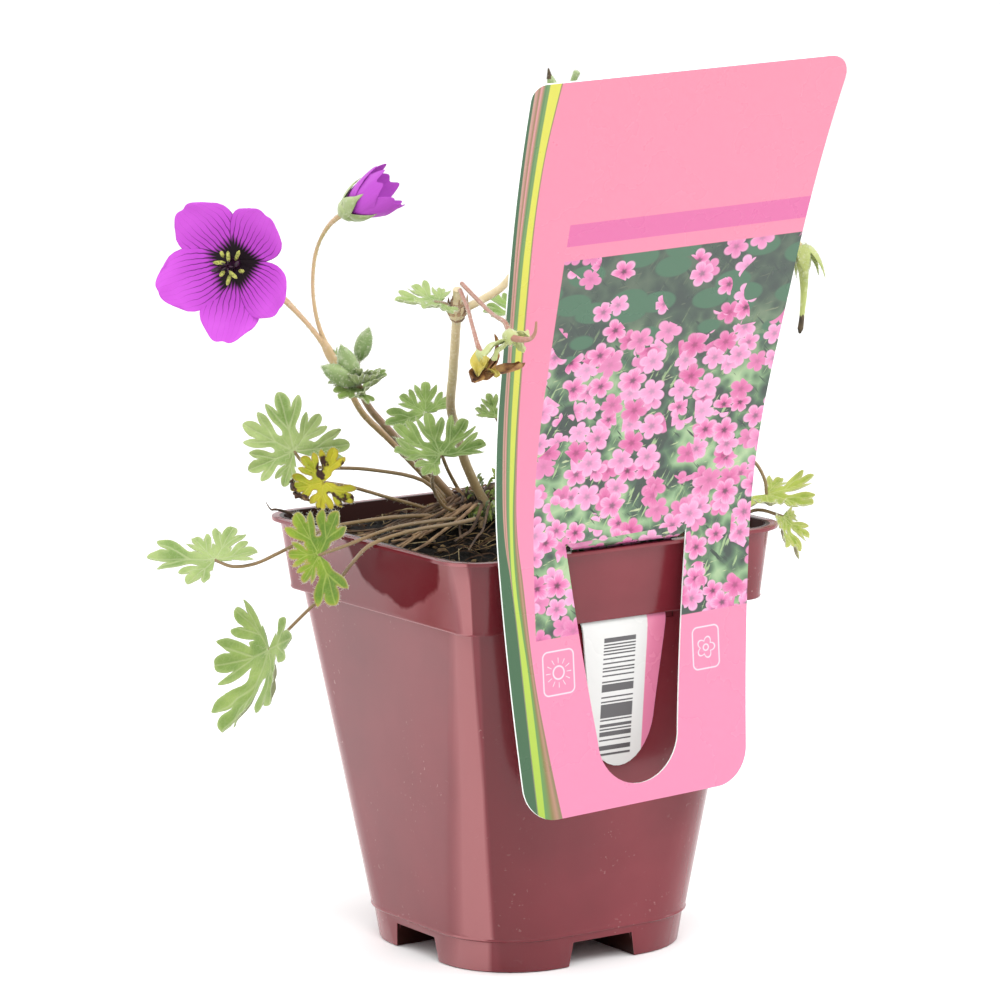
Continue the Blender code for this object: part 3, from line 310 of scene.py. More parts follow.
CARD_THICK = 0.45
FULL_TURN = 6.28
FIVE_LOBES = 2.5
TWELVE_RAYS = 6.0
PRINT_LOW = -58.0
PRINT_HIGH = 114.0
CARD_TOP = 113.7
CARD_BOTTOM = -57.8
CARD_HALF = 34.0
LEFT_SLANT = 0.070
RIGHT_SLANT = 0.065
FOOT_CORNER = 8.0
TOP_LEFT_CORNER = 3.5
TOP_RIGHT_CORNER = 6.0
CARD_CENTRE_X = -3.0
CARD_RIM_Y = -46.1
CARD_ROLL = math.radians(1.74)
CARD_TURN = math.radians(1.15)
CARD_LEANS = (
    (-58.0, -4.0),
    (-39.0, -2.3),
    (-15.0, 0.5),
    (0.0, 2.0),
    (15.0, 9.4),
    (38.7, 18.0),
    (68.8, 18.1),
    (102.8, 24.6),
    (114.0, 26.0),
)
SLOT_ROOT = 3.2
SLOT_ROOT_HALF = 16.5
SLOT_END = (1.2, -42.4)
SLOT_END_RADIUS = 11.0
SLOT_WIDTH = 2.3
TONGUE_REACH = 12.4
TONGUE_SHIFT = 2.8
TONGUE_PATH = (
    (-46.2, 101.0),
    (-45.7, 99.8),
    (-44.6, 98.9),
    (-43.3, 98.55),
    (-42.2, 98.5),
    (-41.45, 98.0),
    (-41.3, 96.8),
    (-40.5, 91.8),
    (-39.6, 86.2),
    (-39.2, 82.6),
    (-39.3, 81.6),
    (-39.5, 80.8),
    (-39.85, 79.8),
    (-39.9, 78.4),
    (-39.6, 75.0),
    (-38.6, 66.0),
    (-37.6, 57.0),
    (-37.2, 53.4),
)
PRINT_SCALE = 250.0
OWN_PRINT = 90.0


def along(stations, place):
    """The value at a place on (place, value) stations, in a straight line between them."""
    return float(np.interp(place, [s[0] for s in stations], [s[1] for s in stations]))


def card_profile():
    """The card's y and z at each distance up from the rim, summed from its lean."""
    step = 0.5
    rows = {0.0: (CARD_RIM_Y, POT_HEIGHT)}
    for way in (1, -1):
        y, z = rows[0.0]
        for i in range(240):
            lean = math.radians(along(CARD_LEANS, way * (i + 0.5) * step))
            y -= way * math.sin(lean) * step
            z += way * math.cos(lean) * step
            rows[way * (i + 1) * step] = (y, z)
    return sorted((place, *rows[place]) for place in rows)


PROFILE = np.array(card_profile())


def card_point(across, up):
    """Where a place on the card's flat print comes to stand, in millimetres."""
    x = across * math.cos(CARD_ROLL) - up * math.sin(CARD_ROLL)
    height = across * math.sin(CARD_ROLL) + up * math.cos(CARD_ROLL)
    y = float(np.interp(height, PROFILE[:, 0], PROFILE[:, 1]))
    z = float(np.interp(height, PROFILE[:, 0], PROFILE[:, 2]))
    return (CARD_CENTRE_X + x, y + x * math.tan(CARD_TURN), z)


def corner_inset(into, radius):
    """How far a round corner has drawn in, this far into it."""
    return radius - math.sqrt(max(radius**2 - max(into, 0.0) ** 2, 0.0))


def card_sides(up):
    """The card's left and right edge at a distance up from the rim, with its corners rounded."""
    foot = corner_inset(CARD_BOTTOM + FOOT_CORNER - up, FOOT_CORNER)
    left = -CARD_HALF - LEFT_SLANT * up + foot
    right = CARD_HALF + RIGHT_SLANT * up - foot
    left += corner_inset(up - CARD_TOP + TOP_LEFT_CORNER, TOP_LEFT_CORNER)
    return left, right - corner_inset(up - CARD_TOP + TOP_RIGHT_CORNER, TOP_RIGHT_CORNER)


def slot_sides(up, width=0.0):
    """The edges of the U-shaped cut, or of the tongue inside it when width is taken off."""
    middle, bend = SLOT_END
    radius = SLOT_END_RADIUS - width
    if up >= bend:
        share = (up - bend) / (SLOT_ROOT - bend)
        left = (middle - radius) * (1 - share) - (SLOT_ROOT_HALF - width) * share
        return left, (middle + radius) * (1 - share) + (SLOT_ROOT_HALF - width) * share
    deep = TONGUE_REACH if width else SLOT_END_RADIUS
    reach = radius * math.sqrt(max(1 - ((bend - up) / deep) ** 2, 0.0))
    return middle - reach, middle + reach


def tongue_rows():
    """The tongue's rows: distance down from its root, y and z."""
    rows = [(0.0, *TONGUE_PATH[0])]
    for (y0, z0), (y1, z1) in zip(TONGUE_PATH, TONGUE_PATH[1:]):
        for share in (0.5, 1.0):
            y, z = y0 + (y1 - y0) * share, z0 + (z1 - z0) * share
            rows.append((rows[-1][0] + math.hypot(y - rows[-1][1], z - rows[-1][2]), y, z))
    down, y, z = rows[-1]
    for angle in range(0, 95, 10):
        further = SLOT_ROOT - SLOT_END[1] + TONGUE_REACH * math.sin(math.radians(min(angle, 89.5))) - down
        if further > 0.5:
            rows.append((down + further, y + 0.11 * further, z - further))
    return rows


def spread(first, last, count):
    """Even steps from the first value to the last."""
    return [first + (last - first) * i / count for i in range(count + 1)]


def rows_of(levels, sides, columns):
    """Rows of (place on the print, place in space) between two edges."""
    return [[((u, up), card_point(u, up)) for u in spread(*sides(up), columns)] for up in levels]


def slot_line(up, side):
    """The left or right edge of the cut, carried straight up above its root."""
    return slot_sides(min(up, SLOT_ROOT))[side]


sheet = bmesh.new()
print_layer = sheet.loops.layers.uv.new("print")
corner_steps = [0.0, 0.01, 0.04, 0.1, 0.18, 0.29, 0.42, 0.58, 0.78, 1.0]
upper = [CARD_TOP - TOP_RIGHT_CORNER * share for share in corner_steps] + spread(104.0, 5.0, 44)
upper.append(SLOT_ROOT)
lower = spread(SLOT_ROOT, SLOT_END[1], 22)
lower += [SLOT_END[1] - SLOT_END_RADIUS * math.sin(math.radians(a)) for a in range(8, 97, 8)][:11]
lower.append(SLOT_END[1] - SLOT_END_RADIUS)
foot = spread(lower[-1], CARD_BOTTOM + 0.6, 5) + [CARD_BOTTOM + 0.25, CARD_BOTTOM + 0.06, CARD_BOTTOM]
patches = [
    rows_of(upper, lambda up: (card_sides(up)[0], slot_line(SLOT_ROOT, 0)), 10),
    rows_of(upper, lambda up: (slot_line(SLOT_ROOT, 0), slot_line(SLOT_ROOT, 1)), 14),
    rows_of(upper, lambda up: (slot_line(SLOT_ROOT, 1), card_sides(up)[1]), 10),
    rows_of(lower, lambda up: (card_sides(up)[0], slot_line(up, 0)), 10),
    rows_of(lower, lambda up: (slot_line(up, 1), card_sides(up)[1]), 10),
    rows_of(foot, lambda up: (card_sides(up)[0], SLOT_END[0]), 10),
    rows_of(foot, lambda up: (SLOT_END[0], card_sides(up)[1]), 10),
]
tongue = []
for down, y, z in tongue_rows():
    edges = slot_sides(SLOT_ROOT - down, SLOT_WIDTH * min(down / 3.0, 1.0))
    shift = CARD_CENTRE_X + TONGUE_SHIFT * min(down / 10.0, 1.0)
    tongue.append([((u + OWN_PRINT, SLOT_ROOT - down), (u + shift, y, z)) for u in spread(*edges, 14)])
tongue[0] = [(flat, card_point(flat[0] - OWN_PRINT, flat[1])) for flat, _ in tongue[0]]
for rows in patches + [tongue]:
    grid = [[(flat, sheet.verts.new(Vector(place) * MM)) for flat, place in row] for row in rows]
    for top_row, low_row in zip(grid, grid[1:]):
        for a, b, c, d in zip(top_row, top_row[1:], low_row[1:], low_row):
            face = sheet.faces.new([corner[1] for corner in (a, d, c, b)])
            for loop, (flat, _) in zip(face.loops, (a, d, c, b)):
                loop[print_layer].uv = [0.5 + value / PRINT_SCALE for value in flat]
bmesh.ops.remove_doubles(sheet, verts=sheet.verts, dist=0.012 * MM)
label_mesh = bpy.data.meshes.new("plant_label")
sheet.to_mesh(label_mesh)
sheet.free()
label = bpy.data.objects.new("die_cut_label", label_mesh)
bpy.context.scene.collection.objects.link(label)

for _ in range(3):
    label.data.materials.append(None)
modified(label, "SOLIDIFY", thickness=CARD_THICK * MM, offset=0.0, material_offset=1, material_offset_rim=2)
finished(label, "die_cut_label", 40)

# Printed and varnished plastic card: even ink under a thin gloss, and a bare white edge where it was
# cut. The print is drawn flat in millimetres, to the right and up from the rim.
card, shader, where = new_material("varnished_printed_card")
flat = add(card, "UVMap", uv_map="print")
place = add(
    card, "VectorMath MULTIPLY_ADD", flat, (PRINT_SCALE,) * 3, (-PRINT_SCALE / 2, -PRINT_SCALE / 2, 0)
)
axes = add(card, "SeparateXYZ", place)
across, up = axes.outputs[0], axes.outputs[1]
height = add(card, "MapRange", Value=up, From_Min=PRINT_LOW, From_Max=PRINT_HIGH)


def inked(material, under, colour, distance, limit=0.0, soft=0.1):
    """Lays a colour where a distance in millimetres is below a limit, with a slightly soft edge."""
    share = add(material, "MapRange", Value=distance, From_Min=limit + soft, From_Max=limit - soft)
    return add(material, "Mix", share, under, colour)


def outside_box(material, place, centre, half, corner=0.0):
    """The distance in millimetres outside a box with round corners."""
    shifted = add(material, "VectorMath SUBTRACT", place, (*centre, 0.0))
    folded = add(material, "VectorMath ABSOLUTE", shifted)
    past = add(material, "VectorMath SUBTRACT", folded, (half[0] - corner, half[1] - corner, 0.0))
    sides = add(material, "SeparateXYZ", past)
    nearest = add(material, "Math MAXIMUM", sides.outputs[0], sides.outputs[1])
    inward = add(material, "Math MINIMUM", nearest, 0.0)
    clamped = add(material, "VectorMath MAXIMUM", past, (0.0, 0.0, 0.0))
    outward = add(material, "VectorMath LENGTH", clamped).outputs["Value"]
    whole = add(material, "Math ADD", inward, outward)
    return add(material, "Math SUBTRACT", whole, corner)


def polar(material, place):
    """A place's distance from the middle, and its angle round it."""
    parts = add(material, "SeparateXYZ", place)
    angle = add(material, "Math ARCTAN2", parts.outputs[1], parts.outputs[0])
    return add(material, "VectorMath LENGTH", place).outputs["Value"], angle


def lobed(material, angle, turns):
    """A wave round the middle, one at the centre of each lobe and nought between two."""
    swing = add(material, "Math COSINE", add(material, "Math MULTIPLY", angle, turns))
    return add(material, "Math ABSOLUTE", swing)


def ring_of(material, distance, width):
    """How far a place is from a line of this width drawn where the distance is nought."""
    centred = add(material, "Math ABSOLUTE", distance)
    return add(material, "Math SUBTRACT", centred, width / 2)


def foliage(material, place):
    """The picture's ground: broken greens crossed by pale blades of grass, with dark leaves at its top."""
    broad = add(material, "TexNoise", Vector=place, Scale=0.085, Detail=2.0, noise_dimensions="2D")
    leafy = add(material, "TexVoronoi", Vector=place, Scale=0.33, voronoi_dimensions="2D")
    tone = add(material, "Math MULTIPLY_ADD", leafy.outputs["Distance"], 0.3, broad)
    stops = ((0.46, "#2a3830"), (0.56, "#3e5743"), (0.64, "#526e4e"), (0.74, "#75936c"), (0.9, "#96ad84"))
    under = add(material, "ValToRGB", tone, stops=stops)
    for turn, scale, shade, limit in (
        (0.5, 0.9, "#89a072", 0.33), (-0.8, 0.7, "#26372b", 0.31), (1.4, 1.1, "#a3af85", 0.29)
    ):
        turned = add(material, "Mapping", place, Rotation=(0, 0, turn), vector_type="POINT")
        drawn = add(material, "Mapping", turned, Scale=(scale, scale * 0.16, 1.0))
        blades = add(material, "TexNoise", Vector=drawn, Scale=1.0, Detail=3.0, noise_dimensions="2D")
        under = inked(material, under, shade, blades, limit, 0.03)
    level = add(material, "SeparateXYZ", place).outputs[1]
    high = add(material, "MapRange", Value=level, From_Min=36.0, From_Max=56.0, To_Max=0.85)
    shade = add(material, "Mix", high, under, "#2f3b36")
    turned = add(material, "Mapping", place, Rotation=(0, 0, 0.5), Scale=(1.0, 1.9, 1.0), vector_type="POINT")
    blade = add(material, "TexVoronoi", Vector=turned, Scale=0.085, voronoi_dimensions="2D")
    low = add(material, "Math MULTIPLY_ADD", high, -0.6, 0.5)
    reach = add(material, "Math ADD", blade.outputs["Distance"], low)
    return inked(material, shade, "#3b6048", reach, 0.4, 0.03)


def scattered_flowers(material, under, place, size, shift, thick):
    """Scatters five-petalled flowers over the print, one in each cell of an uneven grid."""
    moved = add(material, "VectorMath ADD", place, shift)
    cells = add(material, "TexVoronoi", Vector=moved, Scale=1 / size, Randomness=0.8, voronoi_dimensions="2D")
    local = add(material, "VectorMath SUBTRACT", moved, cells.outputs["Position"])
    chance = add(material, "SeparateColor", cells.outputs["Color"])
    tilted = add(material, "Mapping", local, Scale=(1.0, 1.18, 1.0))
    away, angle = polar(material, tilted)
    spun = add(material, "Math MULTIPLY_ADD", chance.outputs[0], FULL_TURN, angle)
    full = add(material, "Math POWER", lobed(material, spun, FIVE_LOBES), 0.55)
    edge = add(material, "Math MULTIPLY_ADD", full, 0.24 * size, 0.25 * size)
    part = add(material, "Math DIVIDE", away, edge)
    veins = add(material, "Math MULTIPLY", spun, 25.0)
    lines = add(material, "Math SINE", veins)
    streaked = add(material, "Math MULTIPLY_ADD", lines, 0.05, part)
    stops = ((0.1, "#4a1530"), (0.2, "#772a55"), (0.3, "#b54f84"), (0.62, "#c96999"), (0.95, "#d294b4"))
    tint = add(material, "ValToRGB", streaked, stops=stops)
    faded = add(material, "Math MULTIPLY", chance.outputs[1], 0.62)
    paler = add(material, "Mix", faded, tint, "#d59dbf")
    strong = add(material, "MapRange", Value=chance.outputs[0], From_Min=0.6, From_Max=0.66, To_Max=0.5)
    blend = add(material, "Mix", strong, paler, "#b03d78")
    drifts = add(material, "TexNoise", Vector=moved, Scale=0.05, Detail=1.0, noise_dimensions="2D")
    crowd = add(material, "Math MULTIPLY_ADD", drifts, -1.6, chance.outputs[2])
    level = add(material, "SeparateXYZ", place).outputs[1]
    sparse = add(material, "MapRange", Value=level, From_Min=40.0, From_Max=58.0, To_Max=0.46)
    fewer = add(material, "Math ADD", crowd, sparse)
    missing = add(material, "Math GREATER_THAN", fewer, thick)
    beyond = add(material, "Math MULTIPLY_ADD", missing, 9.0, part)
    return inked(material, under, blend, beyond, 1.0, 0.06)


picture = foliage(card, place)
for size, shift, thick in (
    (6.2, (3.0, 1.0, 0.0), -0.22), (6.9, (31.0, 17.0, 0.0), -0.18), (7.4, (57.0, 43.0, 0.0), -0.26)
):
    picture = scattered_flowers(card, picture, place, size, shift, thick)
field = add(card, "ValToRGB", height, stops=((0.0, "#cc7495"), (1.0, "#cf758d")))
band = outside_box(card, place, (15.0, 76.4), (40.0, 2.6))
field = inked(card, field, "#c0588c", band)
panel = outside_box(card, place, (55.0, 26.5), (80.0, 43.9))
printed = inked(card, field, picture, panel)

# Curved stripes run down the left edge: a dark green edge, fine salmon and olive lines, a yellow
# band and olive lines again. Each boundary is a distance in from the edge, read against the height.
edge_line = add(card, "Math MULTIPLY_ADD", up, LEFT_SLANT, across)
inward = add(card, "Math ADD", edge_line, CARD_HALF)
HEIGHTS = (-55.0, -41.0, -24.0, -15.0, -4.0, 8.0, 25.0, 65.0, 88.0, 105.0)
BOUNDARIES = (
    (2.9, 3.1, 3.2, 3.1, 2.7, 1.8, 1.6, 1.0, 0.8, 0.7),
    (3.0, 3.2, 3.3, 3.2, 2.9, 2.9, 2.9, 2.4, 3.0, 3.4),
    (3.1, 3.3, 3.4, 3.3, 3.0, 3.3, 3.5, 3.1, 3.7, 4.1),
    (4.8, 5.1, 4.9, 4.4, 3.9, 4.1, 4.7, 4.8, 5.2, 6.3),
    (9.0, 7.7, 6.4, 6.1, 5.8, 5.2, 5.4, 5.2, 5.5, 6.6),
)
limits = []
for widths in BOUNDARIES:
    shares = [(level - PRINT_LOW) / (PRINT_HIGH - PRINT_LOW) for level in HEIGHTS]
    curve = add(card, "FloatCurve", Value=height, points=[(a, w / 10.0) for a, w in zip(shares, widths)])
    limits.append(add(card, "Math MULTIPLY", curve, 10.0))
first, second, third, fourth, fifth = limits
stops = ((0.0, "#90ab30"), (0.35, "#a0b53e"), (0.6, "#bab83a"), (1.0, "#bfbc3f"))
yellow = add(card, "ValToRGB", height, stops=stops)
stops = ((0.0, "#ad8c78"), (0.2, "#a8776f"), (0.38, "#746536"), (0.52, "#c18085"), (0.72, "#8d7251"))
between = add(card, "MapRange", Value=inward, From_Min=first, From_Max=second)
lines = add(card, "ValToRGB", between, stops=(*stops, (0.86, "#4c7243")))
stops = ((0.0, "#4e8040"), (0.25, "#5c7739"), (0.45, "#746536"), (0.7, "#9a725e"), (0.88, "#776746"))
between = add(card, "MapRange", Value=inward, From_Min=fourth, From_Max=fifth)
wide = add(card, "ValToRGB", between, stops=stops)
for colour, limit in (
    (wide, fifth), (yellow, fourth), ("#5c8046", third), (lines, second), ("#27512f", first)
):
    printed = inked(card, printed, colour, add(card, "Math SUBTRACT", inward, limit))

# Two plain pictograms: a sun and a flower, each in a box with round corners.
SIGN_INK = "#d5bec8"
for centre, half in (((-19.3, -25.2), (4.1, 4.9)), ((21.0, -25.7), (3.6, 4.8))):
    printed = inked(card, printed, SIGN_INK, ring_of(card, outside_box(card, place, centre, half, 1.3), 0.3))
    middle = add(card, "VectorMath SUBTRACT", place, (*centre, 0.0))
    away, angle = polar(card, middle)
    sun = centre[0] < 0
    lobes = lobed(card, angle, TWELVE_RAYS if sun else FIVE_LOBES)
    if sun:
        disc = add(card, "Math SUBTRACT", away, 1.45)
        printed = inked(card, printed, SIGN_INK, ring_of(card, disc, 0.32))
        ray = add(card, "Math SUBTRACT", 0.985, lobes)
        span = add(card, "Math SUBTRACT", away, 2.75)
        length = ring_of(card, span, 1.2)
        steep = add(card, "Math MULTIPLY", ray, 9.0)
        printed = inked(card, printed, SIGN_INK, add(card, "Math MAXIMUM", steep, length))
    else:
        edge = add(card, "Math MULTIPLY_ADD", lobes, 0.95, 1.5)
        printed = inked(card, printed, SIGN_INK, ring_of(card, add(card, "Math SUBTRACT", away, edge), 0.3))
        printed = inked(card, printed, SIGN_INK, ring_of(card, add(card, "Math SUBTRACT", away, 0.7), 0.28))

# The tongue's own panel: white, with plain uneven bars that stand for no number.
BARE_PAPER = "#ccccca"
BAR_STEP = 0.36
low_part = add(card, "Math SUBTRACT", up, -18.4)
left_part = add(card, "Math SUBTRACT", across, OWN_PRINT + 6.9)
right_part = add(card, "Math SUBTRACT", OWN_PRINT - 20.0, across)
corner = add(card, "Math MAXIMUM", low_part, left_part)
white_panel = add(card, "Math MAXIMUM", corner, right_part)
step = add(card, "Math MULTIPLY", up, 1 / BAR_STEP)
number = add(card, "Math FLOOR", step)
bars = add(card, "TexWhiteNoise", W=number, noise_dimensions="1D")
ink = add(card, "Math GREATER_THAN", bars.outputs["Value"], 0.52)
block = outside_box(card, place, (OWN_PRINT - 0.4, -38.0), (4.3, 14.0))
paper = inked(card, BARE_PAPER, "#4c4a4c", block)
barred = add(card, "Mix", ink, BARE_PAPER, paper)
printed = inked(card, printed, barred, white_panel)
rub = add(card, "TexNoise", Vector=where, Scale=70.0, Detail=4.0)
gloss = add(card, "MapRange", Value=rub, To_Min=0.2, To_Max=0.36)
bump = add(card, "Bump", Strength=0.04, Distance=0.0005, Height=rub)
wire(card, shader, Base_Color=printed, Roughness=gloss, Normal=bump, IOR=1.5, Coat_Weight=0.25)


def speckled(name, stops, scale, detail=2.0, relief=0.0, depth=0.0003, **surface):
    """A mottled material: one noise gives its colours and, with some relief, its roughness to the touch."""
    material, shader, where = new_material(name)
    mottle = add(material, "TexNoise", Vector=where, Scale=scale, Detail=detail)
    if relief:
        surface["Normal"] = add(material, "Bump", Strength=relief, Distance=depth, Height=mottle)
    wire(material, shader, Base_Color=add(material, "ValToRGB", mottle, stops=stops), **surface)
    return material


# The unprinted back, off-white, and the cut edge, where the plastic core shows clean white.
back = speckled("bare_card_back", ((0.3, "#e9e4e2"), (0.7, "#f3efee")), 120.0, 3.0, Roughness=0.4)
cut = speckled("cut_plastic_edge", ((0.3, "#e6f0e8"), (0.7, "#fbfdfb")), 900.0, Roughness=0.35)
for index, material in enumerate((card, back, cut)):
    label.data.materials[index] = material
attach(label, "root")
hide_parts("plant_label")


# The compost: peat-based potting mix, dark and moist, filled to a finger's width below the rim and
# mounded round the plant. Bark chips and fibres lie loose on top, and one root hair stands out.

SOIL_EDGE = 93.0
SOIL_MOUND = 5.6
SOIL_MOUND_WIDTH = 17.0
CROWN = (1.0, 13.0)
SOIL_HALF = 41.1
INSIDE_WALL = 38.5
SOIL_STEPS = 150
ROUNDNESS = 0.19
LABEL_POCKET = (-19.4, 16.4, -38.2)


def soil_height(x, y):
    """The level of the compost, as a plant's stem meets it."""
    away = (x - CROWN[0]) ** 2 + (y - CROWN[1]) ** 2
    mound = SOIL_MOUND * math.exp(-away / (2 * SOIL_MOUND_WIDTH**2))
    return SOIL_EDGE + mound + 0.7 * noise.noise(Vector((x * 0.11, y * 0.11, 3.7)))


def crumbs(x, y):
    """The rough surface over that level: lumps, crumbs and grit."""
    lumps = 0.9 * noise.noise(Vector((x * 0.3, y * 0.3, 9.1)))
    small = 0.75 * abs(noise.noise(Vector((x * 0.75, y * 0.75, 1.4))))
    return lumps + small + 0.45 * abs(noise.noise(Vector((x * 1.9, y * 1.9, 5.2)))) - 0.35


def in_pocket(x, y, z):
    """Keeps compost out of the gap that the label's tongue goes down."""
    low, high, limit = LABEL_POCKET
    return (x, max(y, limit), z) if low < x < high and z > 80 else (x, y, z)


def clean_piece(name, points, faces, materials, places=None, degrees=35):
    """One piece from points in millimetres and faces, each face with its material's place."""
    mesh = bpy.data.meshes.new(name)
    mesh.from_pydata((np.array(points) * MM).tolist(), [], faces)
    for material in materials:
        mesh.materials.append(material)
    if places is not None:
        mesh.polygons.foreach_set("material_index", places)
    piece = bpy.data.objects.new(name, mesh)
    bpy.context.scene.collection.objects.link(piece)
    return finished(piece, name, degrees)


bpy.ops.mesh.primitive_grid_add(x_subdivisions=SOIL_STEPS, y_subdivisions=SOIL_STEPS, size=2)
compost = bpy.context.object
bpy.ops.object.mode_set(mode="EDIT")
work = bmesh.from_edit_mesh(compost.data)
for vertex in work.verts:
    a, b = vertex.co.x, vertex.co.y
    x = SOIL_HALF * a * (1 - ROUNDNESS * (1 - math.sqrt(1 - b * b / 2)))
    y = SOIL_HALF * b * (1 - ROUNDNESS * (1 - math.sqrt(1 - a * a / 2)))
    z = soil_height(x, y) + crumbs(x, y) - 0.9 * max(max(abs(a), abs(b)) - 0.93, 0) / 0.07
    vertex.co = Vector(in_pocket(x, y, z)) * MM
for edge in work.edges:
    edge.select_set(len(edge.link_faces) == 1)
bmesh.update_edit_mesh(compost.data)
half = SOIL_HALF
for next_half, corner, level in (
    (38.9, 5.6, 82.3), (37.9, 8.6, 80.4), (33.9, 13.2, 44.0), (29.9, 17.4, 8.0), (26.0, 17.0, 7.2)
):
    bpy.ops.mesh.extrude_region()
    work = bmesh.from_edit_mesh(compost.data)
    for vertex in (v for v in work.verts if v.select):
        x, y = vertex.co.x / MM * next_half / half, vertex.co.y / MM * next_half / half
        past_x, past_y = abs(x) - next_half + corner, abs(y) - next_half + corner
        if past_x > 0 and past_y > 0 and math.hypot(past_x, past_y) > corner:
            inward = corner / math.hypot(past_x, past_y)
            x = math.copysign(next_half - corner + past_x * inward, x)
            y = math.copysign(next_half - corner + past_y * inward, y)
        vertex.co = Vector(in_pocket(x, y, level)) * MM
    bmesh.update_edit_mesh(compost.data)
    half = next_half
bpy.ops.mesh.edge_face_add()
bpy.ops.mesh.select_all(action="SELECT")
bpy.ops.mesh.normals_make_consistent(inside=False)
bpy.ops.object.mode_set(mode="OBJECT")
finished(compost, "potting_compost", 60)

# Peat and coir: brown-black and matt, with paler fibres and crumbs that catch the light.
peat, shader, where = new_material("moist_peat_compost")
coarse = add(peat, "TexNoise", Vector=where, Scale=260.0, Detail=6.0, Roughness=0.65)
grit = add(peat, "TexNoise", Vector=where, Scale=1500.0, Detail=3.0)
both = add(peat, "Math MULTIPLY_ADD", grit, 0.4, coarse)
stops = ((0.54, "#060402"), (0.76, "#0b0704"), (0.9, "#19110a"), (0.98, "#382c21"))
tone = add(peat, "ValToRGB", both, stops=stops)
bump = add(peat, "Bump", Strength=0.9, Distance=0.0006, Height=both)
damp = add(peat, "MapRange", Value=coarse, To_Min=0.62, To_Max=0.95)
wire(peat, shader, Base_Color=tone, Roughness=damp, Normal=bump, Specular_IOR_Level=0.12)
compost.data.materials.append(peat)
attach(compost, "root")
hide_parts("compost")


def smooth_route(points, steps=5):
    """Points in millimetres along a smooth curve through the given ones."""
    route = [np.array(p, float) for p in points]
    ends = [2 * route[0] - route[1]] + route + [2 * route[-1] - route[-2]]
    path = []
    for a, b, c, d in zip(ends, ends[1:], ends[2:], ends[3:]):
        for t in np.arange(steps) / steps:
            bend = 2 * b + (c - a) * t + (2 * a - 5 * b + 4 * c - d) * t**2
            path.append(0.5 * (bend + (3 * b - a - 3 * c + d) * t**3))
    return np.array(path + [route[-1]])


def swept(points, radii, sides=8, steps=5, rough=0.0, seed=0):
    """A round stem along a smooth route, closed at both ends: its points and its faces."""
    path = smooth_route(points, steps)
    count = len(path)
    size = np.interp(np.linspace(0, 1, count), np.linspace(0, 1, len(radii)), radii)
    ahead = np.gradient(path, axis=0)
    ahead /= np.linalg.norm(ahead, axis=1)[:, None]
    side = np.cross(ahead[0], (0.31, 0.52, 0.79))
    chance = random.Random(seed)
    turns = np.arange(sides) * 2 * math.pi / sides
    rings = [path[0] - ahead[0] * size[0] * 0.5]
    for i in range(count):
        side -= ahead[i] * side.dot(ahead[i])
        side /= np.linalg.norm(side)
        over = np.cross(ahead[i], side)
        for turn in turns:
            reach = size[i] * (1 + rough * chance.uniform(-1, 1))
            rings.append(path[i] + reach * (math.cos(turn) * side + math.sin(turn) * over))
    rings.append(path[-1] + ahead[-1] * size[-1] * 0.5)
    faces = []
    for j in range(sides):
        k = (j + 1) % sides
        faces.append((0, 1 + k, 1 + j))
        for i in range(count - 1):
            low, high = 1 + i * sides, 1 + (i + 1) * sides
            faces.append((low + j, low + k, high + k, high + j))
        last = 1 + (count - 1) * sides
        faces.append((last + j, last + k, last + sides))
    return np.array(rings), faces


def built(name, parts, materials, degrees=50):
    """One piece from parts of (points, faces, the place of its material or of each face's)."""
    points, faces, places = [], [], []
    for part_points, part_faces, place in parts:
        start = len(points)
        points.extend(np.asarray(part_points).tolist())
        faces.extend(tuple(start + i for i in face) for face in part_faces)
        places.extend(place if isinstance(place, list) else [place] * len(part_faces))
    return clean_piece(name, points, faces, materials, places, degrees)


bpy.ops.mesh.primitive_ico_sphere_add(subdivisions=1, radius=1)
lump = bpy.context.object
lump_points = np.array([v.co[:] for v in lump.data.vertices])
lump_faces = [tuple(face.vertices) for face in lump.data.polygons]
bpy.data.objects.remove(lump, do_unlink=True)


def on_compost(chance):
    """A random place on the compost, clear of the walls and of the label."""
    while True:
        x, y = chance.uniform(-INSIDE_WALL, INSIDE_WALL), chance.uniform(-INSIDE_WALL, INSIDE_WALL)
        if not (-21 < x < 18 and y < -36) and abs(x) + abs(y) < 68:
            return x, y, soil_height(x, y) + crumbs(x, y)


